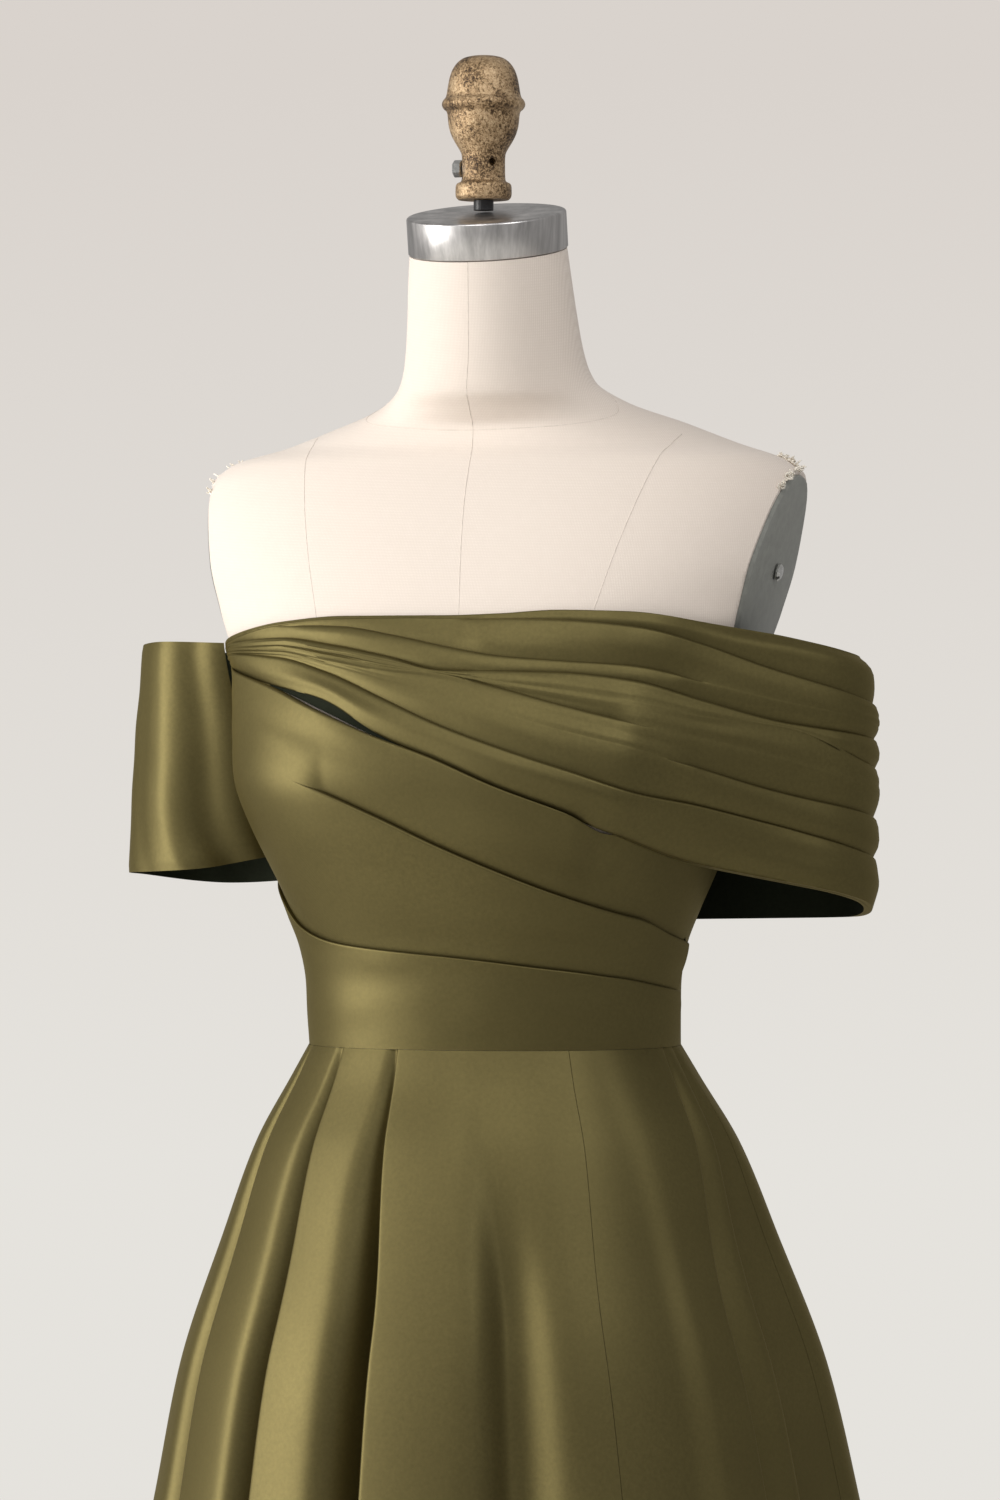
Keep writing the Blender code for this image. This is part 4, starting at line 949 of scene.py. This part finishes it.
def make_plain(name, colour, roughness, scale=300.0):
    made, tree, shader = new_material(name, Roughness=roughness)
    place = object_place(tree)
    grain = node(tree, "ShaderNodeTexNoise", {"Vector": place, "Scale": scale, "Detail": 3.0})
    low = tuple(0.82 * c for c in colour)
    tree.links.new(colour_ramp(tree, grain.outputs["Fac"], ((0.35, low), (0.7, colour))), shader.inputs["Base Color"])
    bump(tree, shader, grain.outputs["Fac"], 0.2, 0.0003)
    return made


SATIN = make_satin(
    "olive_satin_face", (0.086, 0.070, 0.0250), (0.124, 0.102, 0.038), 0.80, 0.50, 0.9, (1.0, 0.88, 0.58),
)
# The reverse material is near-black: painted shade for the cloth's insides and the hollow under the drape, far darker
# than the back of olive satin is under any lamp.
SATIN_BACK_PAINTED_SHADE = make_satin(
    "olive_satin_reverse_painted_shade", (0.010, 0.013, 0.008), (0.018, 0.023, 0.015), 0.0, 0.75, 0.12, (1.0, 0.9, 0.6),
)
LINEN = make_linen()
SEAM_THREAD = make_plain("linen_seam", (0.70, 0.62, 0.55), 0.9)
FRAY = make_plain("frayed_linen", (0.88, 0.82, 0.72), 0.9)
STEEL = make_metal("brushed_steel_rings", (0.74, 0.72, 0.70), 0.24, 26.0, (1.0, 1.0, 0.04), 0.02)
# The cap's deep vertical streaks are partly brushed grain and partly painted reflection: dark and light bands of
# mirrored surroundings put into its colour.
CAP_STEEL_AND_PAINTED_STREAKS = make_metal("brushed_steel_cap_with_painted_reflection_streaks", (0.70, 0.68, 0.67), 0.34, 60.0, (1.0, 1.0, 0.02), 0.02, low=0.50)
PLATE = make_metal("plate_grey_metal", (0.36, 0.365, 0.335), 0.46, 160.0, (1.0, 1.0, 1.0), 0.08, 0.75)
SCREW = make_metal("screw_nickel", (0.66, 0.66, 0.64), 0.25, 400.0, (1.0, 1.0, 1.0), 0.05)
GOLD = make_aged_gold()
BLACK = make_painted("black_steel_paint", (0.018, 0.018, 0.020), 0.40)


# The form


def cover_mesh(name, columns, levels):
    """The covered torso, closed at both ends."""
    angles = np.linspace(-180, 180, columns + 1)[:-1]
    points = []
    for height in levels:
        plan, section = form_outline(height, angles)
        lean = math.tan(math.radians(section["lean_deg"]))
        z = WAIST_Z + height + (plan[:, 1] - section["middle"]) * lean
        points.append(np.column_stack([plan, z]))
    points = np.array(points)
    rows = len(levels)
    a = (np.arange(rows - 1)[:, None] * columns + np.arange(columns)[None, :]).ravel()
    b = (np.arange(rows - 1)[:, None] * columns + (np.arange(columns)[None, :] + 1) % columns).ravel()
    faces = np.stack([a, b, b + columns, a + columns], axis=1).tolist()
    faces.append(list(range(columns)))
    faces.append(list(range((rows - 1) * columns, rows * columns)))
    mesh = bpy.data.meshes.new(name)
    mesh.from_pydata(points.reshape(-1, 3).tolist(), [], faces)
    face_outwards(mesh)
    return mesh


PLATE_CUT = {"x": 0.172, "at_h": 0.295, "slope": 0.25, "bottom_h": 0.225, "top_h": 0.400, "thickness": 0.0022}


def slab(name, side, near, far):
    corners = []
    for height in (PLATE_CUT["bottom_h"] + max(0.0, near), PLATE_CUT["top_h"]):
        for away in (near, far):
            x = PLATE_CUT["x"] + PLATE_CUT["slope"] * (height - PLATE_CUT["at_h"]) + away
            corners.extend((side * x, y, WAIST_Z + height) for y in (-0.20, 0.25))
    faces = ((0, 1, 3, 2), (4, 5, 7, 6), (0, 1, 5, 4), (2, 3, 7, 6), (0, 2, 6, 4), (1, 3, 7, 5))
    mesh = bpy.data.meshes.new(name)
    mesh.from_pydata(corners, [], faces)
    face_outwards(mesh)
    made = bpy.data.objects.new(name, mesh)
    bpy.context.scene.collection.objects.link(made)
    return made


def cut(mesh, cutters, operation="DIFFERENCE"):
    """The mesh after Booleans with the cutters, which are then removed."""
    target = bpy.data.objects.new("cut_target", mesh)
    bpy.context.scene.collection.objects.link(target)
    for cutter in cutters:
        modifier = target.modifiers.new("Cut", "BOOLEAN")
        modifier.operation = operation
        modifier.solver = "EXACT"
        modifier.object = cutter
    graph = bpy.context.evaluated_depsgraph_get()
    made = bpy.data.meshes.new_from_object(target.evaluated_get(graph))
    bpy.data.objects.remove(target)
    for cutter in cutters:
        bpy.data.objects.remove(cutter)
    return made


COVER_LEVELS = np.concatenate([
    np.linspace(-0.310, 0.200, 40)[:-1], np.linspace(0.200, 0.360, 54)[:-1], np.linspace(0.360, 0.4923, 66),
])


PLATE_INSET = 0.0028


def shrink_plate(mesh, side):
    """The plate's outline drawn in, so that the cover's edge stands round it."""
    points = np.array([v.co for v in mesh.vertices])
    middle = (points.min(axis=0) + points.max(axis=0)) / 2
    along = Vector((side * PLATE_CUT["slope"], 0, 1)).normalized()
    half = np.linalg.norm(points - middle, axis=1).max()
    for vertex in mesh.vertices:
        away = vertex.co - Vector(middle)
        flat = Vector((0, away.y, 0)) + along * away.dot(along)
        if flat.length > 0.3 * half:
            vertex.co -= flat.normalized() * PLATE_INSET


def make_cover():
    mesh = cut(cover_mesh("cover", 200, COVER_LEVELS), [slab("cut", side, 0.0, 0.12) for side in (1, -1)])
    add_piece("cover", mesh, (LINEN,), "form_torso", smooth_deg=40)
    for side, word in ((1, "left"), (-1, "right")):
        reach = slab("reach", side, SEAM_GAP, SEAM_GAP + PLATE_CUT["thickness"])
        plate = cut(cover_mesh("plate", 200, COVER_LEVELS[36:]), [reach], "INTERSECT")
        shrink_plate(plate, side)
        add_piece(f"plate_{word}", plate, (PLATE,), f"arm_plate_{word}", smooth_deg=40)


def cover_points(heights, angles, offset):
    """Points on the cover, a little outside it, under its lean."""
    points = []
    for height, angle in zip(heights, angles):
        plan, section = form_outline(height, np.array([angle - 0.5, angle, angle + 0.5]))
        tangent = plan[2] - plan[0]
        out = np.array([tangent[1], -tangent[0]]) / np.linalg.norm(tangent)
        if np.dot(out, plan[1] - np.array([0, section["middle"]])) < 0:
            out = -out
        lean = math.tan(math.radians(section["lean_deg"]))
        x, y = plan[1] + out * offset
        points.append((x, y, WAIST_Z + height + (y - section["middle"]) * lean))
    return np.array(points)


def tube_mesh(name, points, radius, sides=6):
    """A thin round thread along a line of points."""
    points = np.asarray(points, float)
    tangents = np.gradient(points, axis=0)
    tangents /= np.linalg.norm(tangents, axis=1, keepdims=True)
    helper = np.where(np.abs(tangents[:, 2:3]) > 0.9, np.array([[1.0, 0, 0]]), np.array([[0, 0, 1.0]]))
    side = np.cross(tangents, helper)
    side /= np.linalg.norm(side, axis=1, keepdims=True)
    other = np.cross(tangents, side)
    radii = np.broadcast_to(np.asarray(radius, float), (len(points),))
    turns = np.linspace(0, 2 * math.pi, sides + 1)[:-1]
    rings = [
        points + radii[:, None] * (math.cos(t) * side + math.sin(t) * other) for t in turns
    ]
    verts = np.stack(rings, axis=1).reshape(-1, 3)
    faces = []
    for i in range(len(points) - 1):
        for j in range(sides):
            a, b = i * sides + j, i * sides + (j + 1) % sides
            faces.append((a, b, b + sides, a + sides))
    faces.append(tuple(range(sides))[::-1])
    faces.append(tuple(range((len(points) - 1) * sides, len(points) * sides)))
    mesh = bpy.data.meshes.new(name)
    mesh.from_pydata(verts.tolist(), [], faces)
    return mesh


# Lines of the cover's seams: height and angle at points along each
SEAM_COLUMNS = ("name", "heights", "angles_deg")
COVER_SEAMS = (
    ("centre_front", (0.4923, 0.440, 0.400, 0.350, 0.300, 0.250), (0.7, -1.0, -4.5, -1.2, 1.4, 3.2)),
    ("neck_base", (0.398, 0.388, 0.384, 0.386, 0.392, 0.404), (-88.0, -50.0, -10.0, 30.0, 60.0, 92.0)),
    ("centre_back", (0.4923, 0.440, 0.400, 0.350, 0.300, 0.225), (180.0, 180.0, 180.0, 180.0, 180.0, 180.0)),
    ("back_left", (0.378, 0.350, 0.300, 0.225), (128.0, 136.0, 142.0, 146.0)),
    ("back_right", (0.378, 0.350, 0.300, 0.225), (-128.0, -136.0, -142.0, -146.0)),
)


SHOULDER_SEAM = {"top_h": 0.3795, "bottom_h": 0.2550, "top_x": 0.1180, "bottom_x": 0.0850}


def shoulder_seam(side):
    """Heights and angles of the seam that runs straight down over the chest from the shoulder."""
    heights, angles = [], []
    fine = np.arange(0.5, 110.0, 0.25)
    for t in np.linspace(0, 1, 24):
        height = SHOULDER_SEAM["top_h"] + (SHOULDER_SEAM["bottom_h"] - SHOULDER_SEAM["top_h"]) * t
        wanted = SHOULDER_SEAM["top_x"] + (SHOULDER_SEAM["bottom_x"] - SHOULDER_SEAM["top_x"]) * t
        plan, _ = form_outline(height, fine)
        front = fine[: int(np.argmax(plan[:, 0])) + 1]
        angle = float(np.interp(wanted, plan[: len(front), 0], front))
        heights.append(height)
        angles.append(side * angle)
    return tuple(heights), tuple(angles)


def make_cover_seams():
    lines = COVER_SEAMS + tuple(
        (f"princess_{word}", *shoulder_seam(side)) for side, word in ((1, "left"), (-1, "right"))
    )
    for name, heights, angles in lines:
        t = np.linspace(0, 1, len(heights))
        fine = np.linspace(0, 1, 90)
        line = cover_points(monotone_curve(t, heights, fine), monotone_curve(t, angles, fine), -0.00012)
        add_piece(f"seam_{name}", tube_mesh(f"seam_{name}", line, 0.00030), (SEAM_THREAD,))


FRAY_CLUMPS = ((0.3640, 0.012), (0.3610, 0.020), (0.3570, 0.026), (0.3520, 0.030), (0.3450, 0.034))


def make_fray():
    """Short frayed threads, in clumps where the cover meets the arm plates."""
    generator = np.random.default_rng(4)
    parts = []
    for side in (1, -1):
        for height, _ in FRAY_CLUMPS:
            for _ in range(18 if side > 0 else 7):
                level = height + 0.0016 * generator.uniform(-1, 1)
                edge_x = PLATE_CUT["x"] + PLATE_CUT["slope"] * (level - PLATE_CUT["at_h"])
                plan, section = form_outline(level, np.arange(40, 130, 0.5))
                front = plan[plan[:, 1] < section["middle"] + 0.002]
                match = front[np.argmin(np.abs(front[:, 0] - edge_x))]
                base = np.array([side * min(match[0], edge_x), match[1], WAIST_Z + level])
                tip = base + np.array([side * 0.0022, -0.0012, 0.0008]) * generator.uniform(0.4, 1.5)
                tip += generator.uniform(-1, 1, 3) * 0.0022
                middle = (base + tip) / 2 + generator.uniform(-1, 1, 3) * 0.0022
                u = np.linspace(0, 1, 9)[:, None]
                line = (1 - u) ** 2 * base + 2 * u * (1 - u) * middle + u**2 * tip
                parts.append(tube_mesh("thread", line, np.linspace(0.0008, 0.0004, 9), 5))
    work = bmesh.new()
    for part in parts:
        work.from_mesh(part)
        bpy.data.meshes.remove(part)
    mesh = bpy.data.meshes.new("fray")
    work.to_mesh(mesh)
    work.free()
    add_piece("fray", mesh, (FRAY,))


def lathe_mesh(name, profile, steps, matrix=None):
    work = bmesh.new()
    verts = [work.verts.new((radius, 0, height)) for radius, height in profile]
    edges = [work.edges.new(pair) for pair in zip(verts, verts[1:])]
    bmesh.ops.spin(
        work, geom=verts + edges, cent=(0, 0, 0), axis=(0, 0, 1), angle=2 * math.pi, steps=steps, use_merge=True
    )
    bmesh.ops.remove_doubles(work, verts=work.verts, dist=0.00001)
    bmesh.ops.recalc_face_normals(work, faces=work.faces)
    if matrix is not None:
        work.transform(matrix)
    mesh = bpy.data.meshes.new(name)
    work.to_mesh(mesh)
    work.free()
    return mesh


CAP = {"radius": 0.0497, "side": 0.0230, "edge": 0.0016, "centre_y": 0.003, "bottom_h": 0.4929, "lean_deg": 12.0}
FINIAL_H = 0.5240
FINIAL_X = -0.0022
HOLE_TURN_DEG = 40.0
FINIAL_PROFILE_MM = (
    (15.7, 0.0), (17.2, 1.6), (17.5, 4.0), (17.3, 9.8), (13.9, 11.2), (13.4, 13.5), (13.3, 27.5),
    (14.6, 30.6), (17.8, 35.7), (20.2, 40.3), (21.8, 46.0), (22.5, 54.6), (24.9, 56.3),
    (26.1, 59.0), (25.2, 61.6), (23.2, 63.6), (22.2, 70.0), (21.1, 76.0), (19.3, 81.0),
    (16.3, 85.2), (12.4, 88.0), (7.2, 89.2), (3.0, 89.5),
)


def rounded_profile(profile_mm, passes=2):
    """The profile with its corners rounded, carried to the axis."""
    points = np.array(profile_mm, float)
    for _ in range(passes):
        start, end = points[:-1], points[1:]
        cut_in = np.stack([0.78 * start + 0.22 * end, 0.22 * start + 0.78 * end], axis=1).reshape(-1, 2)
        points = np.concatenate([points[:1], cut_in, points[-1:]])
    rows = [(r / 1000, h / 1000) for r, h in points]
    return [(0.0, rows[0][1])] + rows + [(0.0, rows[-1][1])]


def facing(origin, direction):
    turn = Vector((0, 0, 1)).rotation_difference(Vector(direction).normalized())
    return Matrix.Translation(origin) @ turn.to_matrix().to_4x4()


def make_neck():
    place = Matrix.Translation((0, CAP["centre_y"], WAIST_Z + CAP["bottom_h"]))
    place = place @ Matrix.Rotation(math.radians(CAP["lean_deg"]), 4, "X")
    r, side, edge = CAP["radius"], CAP["side"], CAP["edge"]
    arc = [
        (r - edge + edge * math.sin(t), side - edge + edge * math.cos(t)) for t in np.linspace(math.pi / 2, 0, 6)
    ]
    profile = [(0.0, 0.0), (r - 0.0006, 0.0), (r, 0.0006), *arc, (r * 0.55, side), (0.010, side), (0.0, side)]
    cap = lathe_mesh("cap", profile, 128, place)
    add_piece("cap", cap, (CAP_STEEL_AND_PAINTED_STREAKS,), "neck_cap", smooth_deg=50)
    finial_place = Matrix.Translation((FINIAL_X, 0, WAIST_Z + FINIAL_H))
    finial = lathe_mesh("turned_finial", rounded_profile(FINIAL_PROFILE_MM), 96, finial_place)
    turn = math.radians(HOLE_TURN_DEG)
    out = Vector((math.sin(turn), -math.cos(turn), 0))
    at = Vector((FINIAL_X, 0, WAIST_Z + FINIAL_H + 0.0228)) + 0.0135 * out
    hole = lathe_mesh("hole", [(0.0, -0.006), (0.0024, -0.006), (0.0024, 0.004), (0.0, 0.004)], 24, facing(at, out))
    cutter = bpy.data.objects.new("hole", hole)
    bpy.context.scene.collection.objects.link(cutter)
    add_piece("turned_finial", cut(finial, [cutter]), (GOLD,), "finial", smooth_deg=45)


BASE_PROFILE_MM = ((187, 0.0), (190, 3.0), (190, 8.0), (187, 10.5), (60, 18.0), (30, 28.0), (30, 55.0))


def finish_nodes():
    """Materials of the CAD parts that stay."""
    wanted = {
        "neck_rod": BLACK, "stand_pole": STEEL, "set_screw": SCREW, "arm_plate_screw_left": SCREW,
        "arm_plate_screw_right": SCREW, "zip_slider": SCREW, "zip_pull": SCREW,
    }
    for name, finish in wanted.items():
        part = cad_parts[name]
        for slot in part.material_slots:
            slot.material = finish
        if not part.material_slots:
            part.data.materials.append(finish)
    profile = [(0.0, 0.0)] + [(r / 1000, h / 1000) for r, h in BASE_PROFILE_MM] + [(0.0, 0.055)]
    base = lathe_mesh("base", profile, 128)
    add_piece("base", base, (BLACK,), "stand_base", smooth_deg=30)


# The studio: floor, lights and the photograph's camera
AZIMUTH_DEG = 16.0
DISTANCE = 4.2
SCALE = 0.00062
IMAGE = (1000, 1500)
AXIS_PIXEL = 487
EYE_Z = WAIST_Z + (1045 - IMAGE[1] / 2) * SCALE


def studio():
    turn = math.radians(AZIMUTH_DEG)
    right, back = Vector((math.cos(turn), math.sin(turn), 0)), Vector((math.sin(turn), -math.cos(turn), 0))
    camera = bpy.data.objects.new("camera", bpy.data.cameras.new("camera"))
    bpy.context.scene.collection.objects.link(camera)
    camera.data.sensor_width = 36.0
    camera.data.lens = DISTANCE / SCALE / IMAGE[1] * 36.0
    camera.location = back * DISTANCE + right * (IMAGE[0] / 2 - AXIS_PIXEL) * SCALE + Vector((0, 0, EYE_Z))
    camera.rotation_euler = (math.pi / 2, 0, turn)
    camera.data.clip_end = 50
    bpy.context.scene.camera = camera

    floor = bpy.data.objects.new("floor", lathe_mesh("floor", [(0.0, -0.0005), (2.6, -0.0005)], 96))
    bpy.context.scene.collection.objects.link(floor)
    pale, _, shader = new_material("pale_floor", Roughness=0.9)
    shader.inputs["Base Color"].default_value = (0.78, 0.77, 0.74, 1)
    floor.data.materials.append(pale)

    def lamp(name, place, aim, width, height, power, colour=(1.0, 1.0, 1.0)):
        light = bpy.data.lights.new(name, "AREA")
        light.shape = "RECTANGLE"
        light.size, light.size_y = width, height
        light.energy = power
        light.color = colour
        made = bpy.data.objects.new(name, light)
        bpy.context.scene.collection.objects.link(made)
        made.location = place
        made.rotation_mode = "QUATERNION"
        made.rotation_quaternion = (Vector(aim) - Vector(place)).to_track_quat("-Z", "Y")

    up = Vector((0, 0, 1))
    aim = Vector((0, 0, 1.15))
    lamp("key", -right * 3.1 + back * 0.75 + up * 1.55, aim, 2.0, 2.6, 125, (1.0, 0.985, 0.955))
    lamp("front", -right * 0.8 + back * 2.3 + up * 3.6, aim, 1.4, 1.1, 30, (1.0, 0.99, 0.97))
    lamp("right", right * 1.6 + back * 2.4 + up * 3.5, aim, 1.2, 1.1, 36, (1.0, 1.0, 1.0))

    world = bpy.data.worlds.new("studio")
    bpy.context.scene.world = world
    world.use_nodes = True
    tree = world.node_tree
    tree.nodes.clear()
    # The backdrop the camera sees is painted lighter low down and darker higher up, as painted shade; the light the
    # world gives is a weaker plain white.
    ray = node(tree, "ShaderNodeSeparateXYZ", {"Vector": node(tree, "ShaderNodeTexCoord").outputs["Generated"]})
    level = node(tree, "ShaderNodeMapRange", {"Value": ray.outputs["Z"], "From Min": -0.06, "From Max": 0.10})
    shade = colour_ramp(tree, level.outputs["Result"], ((0.0, (0.785, 0.765, 0.725)), (1.0, (0.695, 0.650, 0.610))))
    seen = node(tree, "ShaderNodeBackground", {"Color": shade, "Strength": 1.0})
    lit = node(tree, "ShaderNodeBackground", {"Color": (1.0, 0.98, 0.96, 1), "Strength": 0.37})
    path = node(tree, "ShaderNodeLightPath")
    mix = node(tree, "ShaderNodeMixShader", {0: path.outputs["Is Camera Ray"]})
    tree.links.new(lit.outputs["Background"], mix.inputs[1])
    tree.links.new(seen.outputs["Background"], mix.inputs[2])
    output = node(tree, "ShaderNodeOutputWorld")
    tree.links.new(mix.outputs["Shader"], output.inputs["Surface"])
    bpy.context.scene.view_settings.view_transform = "Standard"


make_cover()
make_cover_seams()
make_fray()
make_neck()
bodice_field, band_field = surface_field(bodice_radius), surface_field(band_radius)
make_drape(band_field)
make_bodice(bodice_field)
make_sleeve(bodice_field)
make_skirt()
finish_nodes()
studio()
for sheet_name, sizes in SHEET_SIZES.items():
    print("sheet", sheet_name, sizes)
